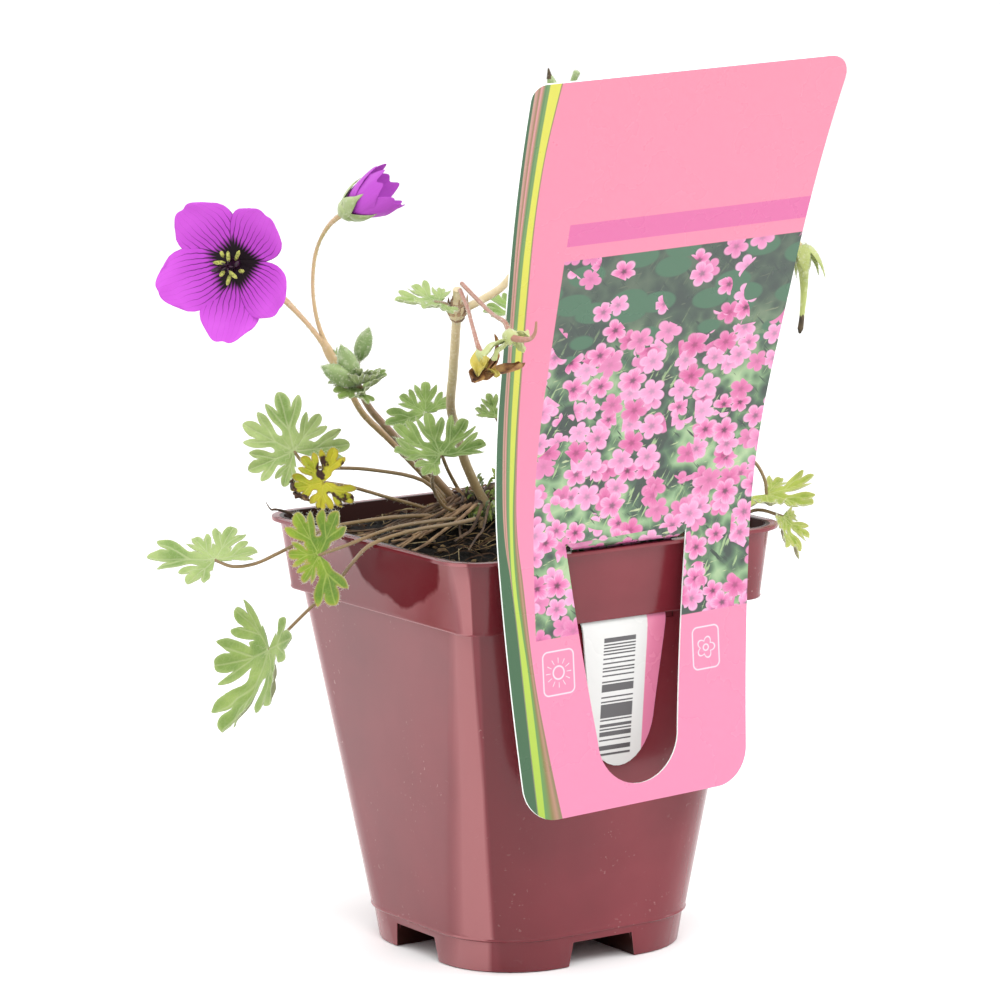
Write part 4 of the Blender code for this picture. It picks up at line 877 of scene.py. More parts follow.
chance = random.Random(14)
litter = []
for _ in range(520):
    x, y, z = on_compost(chance)
    size = chance.uniform(0.35, 1.5) * chance.uniform(0.5, 1.0)
    stretch = np.array((size * chance.uniform(0.8, 2.0), size, size * chance.uniform(0.35, 0.8)))
    shape = lump_points * stretch * (1 + 0.25 * np.array([[chance.uniform(-1, 1)] for _ in lump_points]))
    spin = Matrix.Rotation(chance.uniform(0, FULL_TURN), 3, "Z")
    spin = spin @ Matrix.Rotation(chance.uniform(-0.6, 0.6), 3, "X")
    chip = shape @ np.array(spin).T + (x, y, z + 0.15 * size)
    litter.append((chip, lump_faces, chance.choice((0, 0, 0, 1, 1, 2))))
for _ in range(230):
    x, y, z = on_compost(chance)
    turn, length = chance.uniform(0, 3.14), chance.uniform(3.0, 13.0)
    if x < 5 and chance.random() < 0.55:
        turn = chance.uniform(2.5, 3.6)
    route = []
    for step in (-0.5, -0.17, 0.17, 0.5):
        px = x + math.cos(turn) * length * step + chance.uniform(-0.8, 0.8)
        py = y + math.sin(turn) * length * step + chance.uniform(-0.8, 0.8)
        px, py = np.clip((px, py), (-INSIDE_WALL, -35.5), INSIDE_WALL).tolist()
        lift = chance.uniform(0.0, 0.9) + (0.7 if abs(step) < 0.2 else 0.0)
        route.append((px, py, soil_height(px, py) + crumbs(px, py) + lift))
    thick = chance.uniform(0.09, 0.24)
    litter.append((*swept(route, (thick * 0.6, thick, thick * 0.5), 3, 3), chance.choice((1, 1, 2, 2, 3))))

# Bark is brown-black, dead fibres run from tan to grey-straw, all of them dry and matt.
dead_materials = [
    speckled(name, ((0.38, dark), (0.62, pale)), 700.0, 3.0, 0.5, Roughness=0.85, Specular_IOR_Level=0.2)
    for name, dark, pale in (
        ("dark_bark_chip", "#100a06", "#22170e"),
        ("brown_coir_fibre", "#2a1c12", "#4b3625"),
        ("tan_dead_fibre", "#4c3b28", "#73603f"),
        ("straw_dead_fibre", "#7a6b4e", "#a39674"),
    )
]
loose = built("bark_and_fibre_litter", litter, dead_materials, 35)
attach(loose, "root")
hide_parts("compost")

# Last year's leaf stalks: brown, limp and dry, fallen from the crown over the left of the compost.
stalks = []
for index in range(20):
    turn = math.radians(chance.uniform(158, 214) if index < 15 else chance.uniform(215, 275))
    start, reach = chance.uniform(4, 9), chance.uniform(16, 34)
    side = chance.uniform(-5, 5)
    route = []
    for share in (0.0, 0.2, 0.45, 0.7, 1.0):
        bend = turn + side * 0.03 * share
        px = CROWN[0] - 5 + math.cos(bend) * (start + reach * share)
        py = CROWN[1] - 3 + math.sin(bend) * (start + reach * share) * 0.95 + side * (1 - share)
        px, py = max(px, -INSIDE_WALL), max(min(py, 38.0), -34.5)
        lift = 3.4 * (1 - share) ** 2 + chance.uniform(0.5, 1.6)
        route.append((px, py, soil_height(px, py) + 0.4 + lift))
    thick = chance.uniform(0.22, 0.4)
    stalk = swept(route, (thick * 1.3, thick, thick, thick * 0.6), 6, 5, 0.12, index)
    stalks.append((*stalk, chance.choice((0, 0, 1))))
for index in range(34):
    turn, reach = chance.uniform(0, FULL_TURN), chance.uniform(2.5, 6.0)
    px, py = CROWN[0] + chance.uniform(-7, 6), CROWN[1] + chance.uniform(-6, 6)
    level = soil_height(px, py) + chance.uniform(0.5, 3.0)
    tip = (px + math.cos(turn) * reach, py + math.sin(turn) * reach, level + chance.uniform(0.4, 3.5))
    middle = ((px + tip[0]) / 2, (py + tip[1]) / 2, level + 2.2)
    stalks.append((*swept([(px, py, level), middle, tip], (0.55, 0.35, 0.1), 4, 3), 1))
curl = [(-33, 33, 94.5), (-38, 37, 97.6), (-41.5, 39.8, 98.9), (-43.4, 39.6, 99.2), (-45.0, 39.2, 101.2)]
stalks.append((*swept(curl, (0.32, 0.3, 0.26, 0.08), 6, 5, 0.12, 77), 0))
old_stalk_tones = [
    speckled(name, ((0.35, dark), (0.66, pale)), 320.0, 4.0, 0.4, Roughness=0.7)
    for name, dark, pale in (
        ("withered_petiole", "#33241a", "#6a5038"),
        ("papery_old_stipule", "#5c4230", "#a88a67"),
    )
]
fallen = built("fallen_old_stalks", stalks, old_stalk_tones, 35)
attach(fallen, "root")
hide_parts("compost")

# One live root hair, white and wiry, has grown up out of the compost near the front.
route = [(-19.5, -31.5, 92.6), (-19.0, -30.6, 95.6), (-17.2, -28.6, 99.0), (-14.6, -26.5, 101.2)]
hair_material = speckled("white_root_hair", ((0.3, "#b9b2a6"), (0.7, "#e2ddd2")), 300.0, Roughness=0.5)
root_hair = clean_piece("white_root", *swept(route, (0.22, 0.2, 0.1), 6, 6), [hair_material])
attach(root_hair, "root")
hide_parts("compost")


# The woody rootstock: the old crown that every stem grows from, knobbly, brown and flaking, with
# roots that run out over the compost, and moss with new green shoots in its clefts.

bark, shader, where = new_material("flaking_rootstock_bark")
flakes = add(bark, "TexVoronoi", Vector=where, Scale=520.0, feature="DISTANCE_TO_EDGE")
stripes = add(bark, "TexNoise", Vector=where, Scale=300.0, Detail=5.0)
both = add(bark, "Math MULTIPLY_ADD", flakes.outputs[0], 0.5, stripes)
stops = ((0.42, "#170f0a"), (0.56, "#32231a"), (0.7, "#5c4936"), (0.85, "#8b7a5c"))
tone = add(bark, "ValToRGB", both, stops=stops)
bump = add(bark, "Bump", Strength=0.8, Distance=0.0006, Height=both)
wire(bark, shader, Base_Color=tone, Roughness=0.8, Normal=bump)

cx, cy = CROWN
level = soil_height(cx, cy)
rise = ((0, 0, -4), (0, 0, 1), (-0.6, -0.4, 3.6), (-1.4, -0.6, 5.4))
route = [(cx + x, cy + y, level + z) for x, y, z in rise]
wood = [(*swept(route, (4.2, 4.5, 3.4, 1.4), 14, 5, 0.12, 3), 0)]
for turn, reach, height in ((4.0, 14.0, 0.2), (5.1, 22.0, 0.2), (1.16, 21.0, 0.2), (5.75, 19.0, 0.3)):
    route = [(cx + math.cos(turn) * 1.5, cy + math.sin(turn) * 1.5, level + 2.6)]
    for share in (0.28, 0.5, 0.75, 1.0):
        px, py = cx + math.cos(turn) * reach * share, cy + math.sin(turn) * reach * share
        route.append((px, py, soil_height(px, py) + height + 0.6 + (1.0 - share) * 1.4))
    wood.append((*swept(route, (1.1, 0.7, 0.35), 8, 6, 0.14, int(reach)), 0))
knobs = (
    (-6.5, 7.8, 4.0, -0.5, -0.6), (-7.5, 15.0, 4.6, -0.8, 0.1), (-6.8, 20.0, 3.8, -0.6, 0.5),
    (-9.8, 11.2, 3.4, -0.9, -0.2), (3.5, 5.5, 4.0, 0.2, -0.8), (8.5, 9.5, 3.6, 0.8, -0.2),
    (7.5, 18.0, 3.8, 0.6, 0.5), (-1.5, 21.0, 3.4, -0.1, 0.9)
)
for index, (px, py, tall, lean_x, lean_y) in enumerate(knobs):
    base = soil_height(px, py)
    inner = (px * 0.5 + cx * 0.5, py * 0.5 + cy * 0.5, base + 0.6)
    middle = (px * 0.8 + cx * 0.2, py * 0.8 + cy * 0.2, base + 1.4)
    tip = (px + lean_x * 0.8, py + lean_y * 0.8, base + tall)
    wood.append((*swept([inner, middle, tip], (1.9, 1.6, 0.9), 9, 5, 0.16, 30 + index), 0))
for index in range(70):
    turn, out_by, high = chance.uniform(0, FULL_TURN), chance.uniform(3.0, 8.5), chance.uniform(0.5, 4.5)
    px, py = cx - 1.5 + math.cos(turn) * out_by, cy - 0.5 + math.sin(turn) * out_by
    base = soil_height(px, py) + high * 0.6
    tip = (px + math.cos(turn) * 1.6, py + math.sin(turn) * 1.6, base + chance.uniform(1.2, 3.0))
    wood.append((*swept([(px, py, base - 0.4), tip], (0.75, 0.12), 4, 2, 0.2, index), 0))
rootstock = built("woody_rootstock", wood, [bark])
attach(rootstock, "root")
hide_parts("rootstock")

# Moss and new shoots: tufts of tiny blunt leaflets, light yellow-green.
tufts = []
for px, py, high, spread_by, count in (
    (-9.5, 4.5, 5.0, 2.2, 30), (-3.5, 2.5, 9.0, 2.8, 60), (-0.5, 5.5, 13.0, 3.0, 70),
    (4.0, 2.5, 9.0, 2.8, 40), (-4.0, 12.0, 9.0, 2.6, 24), (-7.0, 1.5, 4.5, 1.6, 26),
):
    for _ in range(count):
        a, b = px + chance.uniform(-1, 1) * spread_by, py + chance.uniform(-1, 1) * spread_by
        base = soil_height(a, b) + high * chance.uniform(0.25, 0.8)
        turn, reach = chance.uniform(0, FULL_TURN), chance.uniform(0.8, 1.9)
        tip = (a + math.cos(turn) * reach, b + math.sin(turn) * reach, base + chance.uniform(0.3, 1.8))
        middle = ((a + tip[0]) / 2, (b + tip[1]) / 2, (base + tip[2]) / 2 + 0.3)
        leaflet = swept([(a, b, base - 0.5), middle, tip], (0.12, 0.42, 0.15), 4, 2)
        tufts.append((*leaflet, chance.choice((0, 0, 1))))
moss_tones = [
    speckled(name, ((0.35, dark), (0.65, pale)), 600.0, Roughness=0.65, Sheen_Weight=0.2)
    for name, dark, pale in (("bright_moss", "#6d8831", "#9bac5a"), ("grey_green_moss", "#5d6b44", "#86916f"))
]
moss_tufts = built("moss_and_new_shoots", tufts, moss_tones, 60)
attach(moss_tufts, "root")
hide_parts("rootstock")


# The flower stalks: soft, slightly hairy stems, pinkish brown on top, where the sun reddens them, and
# olive below, with painted light on their upper side and painted shade below. One forks to the open
# and the half-open flower, one ends in the knot of buds.

ROOT_DEPTH = 5.0


def rooted(x, y):
    """The first points of a stem that stands upright in the compost."""
    level = soil_height(x, y)
    return [(x, y, level - ROOT_DEPTH), (x, y, level + 0.6), (x, y, level + 2.2)]


HAIR_HALF = 0.045


def fuzz(part, count, length, seed, thick=HAIR_HALF):
    """Fine hairs that stand out of a part: each a thin closed spike on one of its faces."""
    points, faces = np.asarray(part[0]), part[1]
    chance = random.Random(seed)
    spikes, ends = [], []
    for _ in range(count):
        corners = points[list(faces[chance.randrange(len(faces))])]
        normal = np.cross(corners[1] - corners[0], corners[2] - corners[0])
        size = np.linalg.norm(normal)
        if size < 1e-6:
            continue
        normal /= size
        mix = np.array([chance.random() + 0.05 for _ in corners])
        foot = (corners * (mix / mix.sum())[:, None]).sum(axis=0)
        side = np.cross(normal, (0.36, 0.48, 0.8))
        side /= np.linalg.norm(side)
        over = np.cross(normal, side)
        lean = normal + np.array([chance.uniform(-0.35, 0.35) for _ in range(3)])
        start = len(spikes)
        for turn in (0.0, 2.094, 4.189):
            spikes.append(foot - 0.03 * normal + thick * (math.cos(turn) * side + math.sin(turn) * over))
        spikes.append(foot + lean * length * chance.uniform(0.6, 1.2))
        ends += [(start, start + 2, start + 1), (start, start + 1, start + 3)]
        ends += [(start + 1, start + 2, start + 3), (start + 2, start, start + 3)]
    return spikes, ends


def stem_material(name, lit_colour, shade_colour, tint):
    """A living stem: painted light on its upper side and painted shade below, faint streaks, and brown at its
    foot.
    """
    living, shader, where = new_material(name)
    facing = add(living, "SeparateXYZ", add(living, "NewGeometry").outputs["Normal"])
    clouds = add(living, "TexNoise", Vector=where, Scale=90.0, Detail=3.0)
    # Painted light and shade: faces that look up take the lit colour, faces that look down the shade colour.
    lit = add(living, "Math MULTIPLY_ADD", facing.outputs[2], 0.3, clouds)
    share = add(living, "MapRange", Value=lit, From_Min=0.25, From_Max=0.75)
    base = add(living, "Mix", share, shade_colour, lit_colour)
    streaks = add(living, "TexNoise", Vector=where, Scale=800.0, Detail=2.0)
    flecks = add(living, "MapRange", Value=streaks, From_Min=0.52, From_Max=0.7, To_Max=0.6)
    tone = add(living, "Mix", flecks, base, tint)
    height = add(living, "SeparateXYZ", where).outputs[2]
    old = add(living, "MapRange", Value=height, From_Min=0.134, From_Max=0.102, To_Max=0.8)
    tone = add(living, "Mix", old, tone, "#7d643c")
    bump = add(living, "Bump", Strength=0.25, Distance=0.0002, Height=streaks)
    wire(living, shader, Base_Color=tone, Roughness=0.5, Normal=bump)
    wire(living, shader, Subsurface_Weight=0.08, Subsurface_Radius=(0.001, 0.0007, 0.0004), Sheen_Weight=0.15)
    return living


# Stem hairs: short, silvery and translucent; drawn a little thicker than life so that they show.
silver = speckled(
    "silvery_plant_hair", ((0.3, "#b7bda2"), (0.7, "#d9dcc9")), 900.0, Roughness=0.55, Subsurface_Weight=0.1
)
pinkish = stem_material("pinkish_tan_flower_stalk", "#c0a07d", "#ad9c68", "#c4aa8e")
reddish = stem_material("reddish_bud_stalk", "#9b6e61", "#897e57", "#ac9082")
pale_calyx = stem_material("pale_hairy_calyx", "#a2b07d", "#879a60", "#b6be9e")
hairy_green = stem_material("hairy_green_bud", "#8b9e68", "#688349", "#acb695")


def bud(base, tip, width, sides=12):
    """A closed bud: fat below its middle and drawn to a point."""
    a, b = np.array(base, float), np.array(tip, float)
    places = (0.0, 0.1, 0.25, 0.42, 0.6, 0.76, 0.89, 1.0)
    widths = (0.35, 0.62, 0.9, 1.0, 0.93, 0.72, 0.42, 0.1)
    return swept([a + (b - a) * s for s in places], [width / 2 * w for w in widths], sides, 2)


def unit(way):
    """A direction, one long."""
    return np.array(way, float) / np.linalg.norm(way)


def aimed(points, centre, way, up_hint=(0, 0, 1), spin=0.0):
    """Turns local points so that their Z looks the given way, and moves them to a centre."""
    z = unit(way)
    x = unit(np.cross(up_hint, z))
    y = np.cross(z, x)
    a = math.radians(spin)
    turned = np.array([math.cos(a) * x + math.sin(a) * y, math.cos(a) * y - math.sin(a) * x, z])
    return np.asarray(points) @ turned + np.array(centre, float)


def thickened(points, faces, halves):
    """A sheet moved out to both sides by half its thickness at each point, and its back's faces."""
    normals = np.zeros_like(points)
    for face in faces:
        normal = np.cross(points[face[-2]] - points[face[0]], points[face[-1]] - points[face[-3]])
        for corner in face:
            normals[corner] += normal
    normals /= np.linalg.norm(normals, axis=1)[:, None] + 1e-12
    offset = normals * halves[:, None]
    under = [tuple(len(points) + corner for corner in reversed(face)) for face in faces]
    return np.concatenate([points + offset, points - offset]), under


def shell(length, half_width, curl, profile, columns, rows, thick, notch, cupped, ruffle, seed=0):
    """A curved petal or sepal along local X, as a closed thin shell with its print coordinates.

    profile gives its half width from base to tip, and curl how far it bends up, in degrees.
    """
    shares = np.linspace(0, 1, len(profile))
    bend = math.radians(curl) / length
    shift = Vector((seed * 7.3, seed * 3.1, 0.0))
    points, flat = [], []
    for i in range(rows + 1):
        t = i / rows
        for j in range(columns + 1):
            a = 2 * j / columns - 1
            reach = t * length * (1 - 0.2 * abs(a) ** 3 * t - notch * math.exp(-((a / 0.22) ** 2)) * t**3)
            across = a * half_width * float(np.interp(t, shares, profile))
            out = math.sin(bend * reach) / bend
            rise = (1 - math.cos(bend * reach)) / bend
            wave = noise.noise(Vector((t * 2.2, a * 1.6, 0.0)) + shift) * ruffle * t
            rise += cupped * half_width * a * a * t + wave
            points.append((out, across, rise))
            flat.append((a / 2 + 0.5, t))
    grid = np.array(points)
    faces = []
    for i in range(rows):
        for j in range(columns):
            p = i * (columns + 1) + j
            faces.append((p, p + columns + 1, p + columns + 2, p + 1))
    edge = np.full((rows + 1, columns + 1), 1.0)
    edge[:, 0] = edge[:, -1] = edge[-1] = 0.35
    both, under = thickened(grid, faces, thick / 2 * edge.ravel())
    size = len(grid)
    loop = list(range(columns + 1))
    loop += [i * (columns + 1) + columns for i in range(1, rows + 1)]
    loop += [rows * (columns + 1) + j for j in range(columns - 1, -1, -1)]
    loop += [i * (columns + 1) for i in range(rows - 1, 0, -1)]
    side = [(b, a, a + size, b + size) for a, b in zip(loop, loop[1:] + loop[:1])]
    return both, faces + under + side, flat + flat


SEPAL_SHAPE = (0.55, 0.8, 0.97, 1.0, 0.92, 0.74, 0.5, 0.22, 0.06)


def sepals(centre, way, length, curl, half_width, seed, up_hint=(0, 0, 1)):
    """Five pointed sepals round the foot of a flower."""
    parts = []
    for k in range(5):
        leaf, faces, _ = shell(length, half_width, curl, SEPAL_SHAPE, 6, 12, 0.35, 0.0, 0.35, 0.3, seed + k)
        parts.append((aimed(leaf, centre, way, up_hint, 72 * k + 20), faces))
    return parts


def folded(parts, centre, way, share):
    """Draws parts in towards an axis, to this share of their distance from it."""
    drawn = []
    for points, faces in parts:
        away = np.asarray(points) - centre
        on_axis = np.outer(away @ way, way)
        drawn.append((centre + on_axis + share * (away - on_axis), faces))
    return drawn


OPEN_FLOWER = np.array((-56.0, 31.0, 158.0))
OPEN_WAY = unit((-0.76, -0.64, 0.02))
HALF_OPEN_FLOWER = np.array((-35.5, 17.5, 169.4))
HALF_WAY = unit((0.62, -0.62, 0.48))
back_of_flower = OPEN_FLOWER - OPEN_WAY * 1.6
stem_parts = [
    swept(
        rooted(-7.5, 20.5) + [
            (-12.5, 22.5, 106.5), (-19.9, 24.5, 114.8), (-27, 24.5, 121.5), (-31.5, 23.5, 128),
            (-36.6, 24.2, 138)
        ],
        (0.85, 0.8, 0.7), 12, 6, 0.03, 1
    ),
    swept(
        [
            (-35.4, 23.8, 135), (-40, 25.5, 142.5), (-45.5, 29.5, 149.5), (-51.5, 33.5, 155),
            back_of_flower - OPEN_WAY * 2.6, back_of_flower + OPEN_WAY * 0.4
        ],
        (0.6, 0.5, 0.5, 0.75), 12, 6, 0.03, 2
    ),
    swept(
        [
            (-36.0, 24.0, 136.5), (-38.6, 25, 144), (-39.5, 25.3, 152), (-38.6, 25, 160),
            (-37.3, 21.5, 166), HALF_OPEN_FLOWER + HALF_WAY * 0.8
        ],
        (0.56, 0.42, 0.42, 0.7), 12, 6, 0.03, 3
    ),
    swept(
        [(-36.6, 24.2, 138), (-40.5, 29, 145), (-44, 34, 151), (-45.5, 36.5, 153.5)], (0.5, 0.45), 10, 5,
        0.03, 4
    ),
    bud((-34.2, 23.5, 132.5), (-38.2, 24.8, 141), 2.4),
]
bud_parts = [bud((-45, 36, 152.5), (-48.5, 40, 157), 3.4)]
bud_parts += sepals(back_of_flower, OPEN_WAY, 8.6, 14.0, 1.9, 21)
calyx = folded(sepals(HALF_OPEN_FLOWER, HALF_WAY, 11.4, 86.0, 3.4, 31), HALF_OPEN_FLOWER, HALF_WAY, 0.64)
calyx.append(bud(HALF_OPEN_FLOWER - HALF_WAY * 1.2, HALF_OPEN_FLOWER + HALF_WAY * 3.4, 5.4))
stipules = []
for x, y, z, turn in ((-35.2, 23.9, 134.5, 0.4), (-35.0, 23.6, 134.0, 2.2), (-34.6, 24.4, 134.2, 4.1)):
    tip = (x + 1.5 * math.cos(turn), y + 1.5 * math.sin(turn), z + 3.4)
    middle = (x + 0.9 * math.cos(turn), y + 0.9 * math.sin(turn), z + 1.8)
    stipules.append(swept([(x, y, z), middle, tip], (0.5, 0.4, 0.08), 5, 3))
parts = [(*part, 0) for part in stem_parts] + [(*part, 1) for part in bud_parts + stipules]
parts += [(*part, 3) for part in calyx]
parts += [(*fuzz(part, 420, 0.7, 40 + i), 2) for i, part in enumerate(stem_parts[:4])]
parts += [(*fuzz(part, 130, 0.9, 60 + i), 2) for i, part in enumerate(bud_parts)]
flower_stalk = built("forked_flower_stalk", parts, [pinkish, hairy_green, silver, pale_calyx])
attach(flower_stalk, "root")
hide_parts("flower_stalk")


# The old flower stem: two-year wood, tan and olive, swollen and ringed at its joint, where papery
# brown stipules cling. A branch goes on behind the label to the seed heads.

old_wood = stem_material("tan_ripened_stem", "#d1c09b", "#b8a77d", "#d8cbaf")
papery = old_stalk_tones[1]
knee = swept(
    [(-35.6, -29.2, 149.6), (-36.4, -30.4, 151.3), (-37.1, -31.6, 152.9), (-37.9, -33, 154.9)],
    (1.25, 1.95, 1.9, 1.0), 14, 4, 0.06, 8
)
route = rooted(-5.0, 6.5) + [
    (-6.7, 8.2, 104), (-10.2, 7.9, 110.8), (-13.9, 5.5, 118.3), (-18.3, 1.1, 125.3), (-24.8, -10.1, 134),
    (-31.3, -21.3, 141.8), (-37.0, -31.5, 152.5), (-38.4, -34, 157)
]
branches = [
    swept(route, (1.15, 1.1, 1.05, 1.0), 14, 6, 0.03, 5), knee,
    swept(
        [
            (-37, -31, 151.5), (-31, -33.6, 154.5), (-26.0, -35.0, 158.0), (-22, -38.5, 167),
            (-21, -45, 179), (-23, -51, 190), (-25, -55, 197)
        ],
        (0.9, 0.85, 0.7, 0.6), 12, 6, 0.03, 6
    ),
    swept(
        [
            (-25, -36, 160), (-8, -37, 168), (12, -38, 172), (32, -41, 170), (42, -44.5, 166.5),
            (45.6, -46, 161)
        ],
        (0.7, 0.5, 0.5), 10, 6, 0.03, 7
    ),
]
scales = []
for index in range(9):
    turn = index * 0.72
    x, y = -36.6 + 1.5 * math.cos(turn), -30.9 + 1.5 * math.sin(turn)
    tip = (x + 0.6 * math.cos(turn) - 0.7, y + 0.6 * math.sin(turn) - 1.4, 154.6 + 0.5 * (index % 3))
    middle = (x + 0.55 * math.cos(turn), y + 0.55 * math.sin(turn), 152.4)
    scales.append(swept([(x, y, 150.9), middle, tip], (0.5, 0.55, 0.07), 5, 3, 0.1, index))
rings = [
    swept([(-36.0, -29.9, 150.5), (-36.25, -30.3, 150.9)], (1.75, 1.75), 14, 2, 0.05, 9),
    swept([(-37.5, -32.3, 153.7), (-37.7, -32.6, 154.05)], (1.6, 1.6), 14, 2, 0.05, 10),
]
parts = [(*part, 0) for part in branches] + [(*part, 1) for part in scales + rings]
parts += [(*fuzz(part, 260, 0.5, 80 + i), 2) for i, part in enumerate(branches)]
old_stem = built("ripened_flower_stem", parts, [old_wood, papery, silver])
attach(old_stem, "root")
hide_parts("old_flower_stem")


# The leaves: round hairy blades on thin stalks, cut into lobes, each lobe cut again into blunt
# fingers. They are matt grey-green above and paler beneath, with sunken veins.

LEAF_LOBE = (
    (-0.72, 0.43),
    (-0.92, 0.62),
    (-0.93, 0.80),
    (-0.74, 0.95),
    (-0.50, 0.84),
    (-0.38, 0.74),
    (-0.36, 0.86),
    (-0.20, 0.99),
    (0.02, 1.04),
    (0.22, 0.97),
    (0.36, 0.85),
    (0.39, 0.73),
    (0.51, 0.83),
    (0.75, 0.94),
    (0.93, 0.79),
    (0.92, 0.62),
    (0.72, 0.43),
)
LEAF_THICK = 0.36
PALM = 0.34
FOLD = 0.1
PLEAT_DEPTH = 0.24
PLEAT_WIDTH = 0.62
WAVE_HEIGHT = 1.3
WAVE_SCALE = 0.24


def leaf_outline(lengths, step, palm_edge):
    """The flat outline of a blade, from lobe to lobe, rounded through its corners."""
    count = len(lengths)
    middle = (count - 1) / 2
    corners = []
    for k in range(count):
        turn = (k - middle) * step
        corners.append((turn - step / 2, palm_edge * (0.8 if k == 0 else 1.0)))
        corners += [(turn + share * step / 2, out * lengths[k]) for share, out in LEAF_LOBE]
    corners.append(((count - middle - 0.5) * step, palm_edge * 0.8))
    flat = [(out * math.cos(turn), out * math.sin(turn), 0.0) for turn, out in corners]
    return smooth_route(flat, 4)[:, :2]


def leaf_blade(lengths, spacing, cup, seed, grain=0.62):
    """A blade's points, upper faces, other faces, marks (width, length, margin) and edge hairs."""
    chance = random.Random(seed)
    count = len(lengths)
    step = math.radians(spacing)
    middle = (count - 1) / 2
    radius = max(lengths)
    palm_edge = PALM * radius
    bends = [math.radians(cup) * chance.uniform(0.3, 1.8) for _ in lengths]

    def lifted(x, y):
        """Where a place on the flat blade rises to, and its mark: across and out along its lobe."""
        out = math.hypot(x, y)
        place = math.atan2(y, x) / step + middle
        k = min(max(round(place), 0), count - 1)
        share = min(max(place - k, -0.5), 0.5)
        other = k + (1 if share > 0 else -1)
        beside = bends[other] if 0 <= other < count else bends[k]
        blend = abs(share) * max(1 - 2 * max(out / palm_edge - 1, 0.0), 0.0)
        curl = (bends[k] * (1 - blend) + beside * blend) / radius
        reach = math.sin(curl * out) / (curl * out) if out > 1e-6 else 1.0
        rise = (1 - math.cos(curl * out)) / curl + FOLD * out * 2 * abs(share)
        far = min(max(out / radius - 0.3, 0.0) / 0.3, 1.0)
        rise -= PLEAT_DEPTH * far * math.cos(share * 2 / PLEAT_WIDTH * 2 * math.pi)
        wave = noise.noise(Vector((x * WAVE_SCALE, y * WAVE_SCALE, seed * 3.7)))
        rise += WAVE_HEIGHT * wave * out / radius
        angle = (place - k) * step
        mark = (0.5 + out * math.sin(angle) / lengths[k] * 0.7, 0.9 * out * math.cos(angle) / lengths[k])
        return (x * reach, y * reach, rise), mark

    edge = leaf_outline(lengths, step, palm_edge)
    rim = np.concatenate([edge, [(0.0, 0.0)]])
    low, high = rim.min(axis=0), rim.max(axis=0)
    inner = []
    for row, y in enumerate(np.arange(low[1], high[1], grain * 0.87)):
        for x in np.arange(low[0] + (row % 2) * grain / 2, high[0], grain):
            inner.append((x, y))
    inner = np.array(inner)
    gap = np.sqrt(((inner[:, None] - rim[None]) ** 2).sum(axis=2).min(axis=1))
    inner = inner[gap > grain * 0.55]
    spots = [Vector(p) for p in rim.tolist() + inner.tolist()]
    flat, _, faces, _, _, _ = geometry.delaunay_2d_cdt(spots, [], [list(range(len(rim)))], 1, 0.0001)
    faces = [tuple(face) for face in faces]
    flat = np.array([tuple(p) for p in flat])
    raised = [lifted(x, y) for x, y in flat]
    sheet = np.array([p for p, _ in raised])
    marks = [mark for _, mark in raised]
    margin = np.sqrt(((flat[:, None] - rim[None, :-1]) ** 2).sum(axis=2).min(axis=1))
    both, under = thickened(sheet, faces, np.where(margin < 0.05, 0.4, 1.0) * LEAF_THICK / 2)
    pairs = [pair for face in faces for pair in zip(face, face[1:] + face[:1])]
    size, shared = len(sheet), set(pairs)
    side = [(b, a, a + size, b + size) for a, b in pairs if (b, a) not in shared]
    hairs, ends = [], []
    for i in range(0, len(edge) - 1):
        along_edge = edge[min(i + 1, len(edge) - 1)] - edge[max(i - 1, 0)]
        outward = np.array((along_edge[1], -along_edge[0]))
        outward /= np.linalg.norm(outward) + 1e-9
        for _ in range(1 + i % 2):
            foot = edge[i] + (edge[i + 1] - edge[i]) * chance.random()
            a = np.array(lifted(*(foot - outward * 0.1))[0])
            b = np.array(lifted(*(foot + outward * 0.3))[0])
            way = (b - a) / (np.linalg.norm(b - a) + 1e-9)
            way = way + [chance.uniform(-0.4, 0.4) for _ in range(3)]
            side_way = np.cross(way, (0, 0, 1))
            side_way /= np.linalg.norm(side_way) + 1e-9
            start = len(hairs)
            hairs += [a + side_way * HAIR_HALF, a - side_way * HAIR_HALF, a + (0, 0, 0.08)]
            hairs.append(a + way * chance.uniform(0.45, 0.8))
            ends += [(start, start + 1, start + 2), (start, start + 3, start + 1)]
            ends += [(start + 1, start + 3, start + 2), (start + 2, start + 3, start)]
    marks = [(*mark, near) for mark, near in zip(marks, margin)]
    return both, faces, under + side, marks + marks, (hairs, ends)


def set_blade(points, centre, aim, face):
    """Turns local points so that X runs to aim and Z to the blade's upper side."""
    ahead = unit(np.subtract(aim, centre))
    upper = unit(face - np.dot(face, ahead) * ahead)
    return np.asarray(points) @ np.array([ahead, np.cross(upper, ahead), upper]) + centre


def leaf_parts(centre, aim, face, lengths, seed, spacing=54.0, cup=20.0, grain=0.62):
    """A placed blade as its points, upper side, paler under side, marks, and two sets of hairs."""
    both, upper, beneath, marks, (hairs, ends) = leaf_blade(lengths, spacing, cup, seed, grain)
    points = set_blade(both, centre, aim, face)
    short_hairs = fuzz((points, beneath[: len(upper)]), 90, 0.45, seed + 500, 0.035)
    return points, upper, beneath, marks, (set_blade(hairs, centre, aim, face), ends), short_hairs


OFF_BLADE = (0.5, 0.5, 1.0)


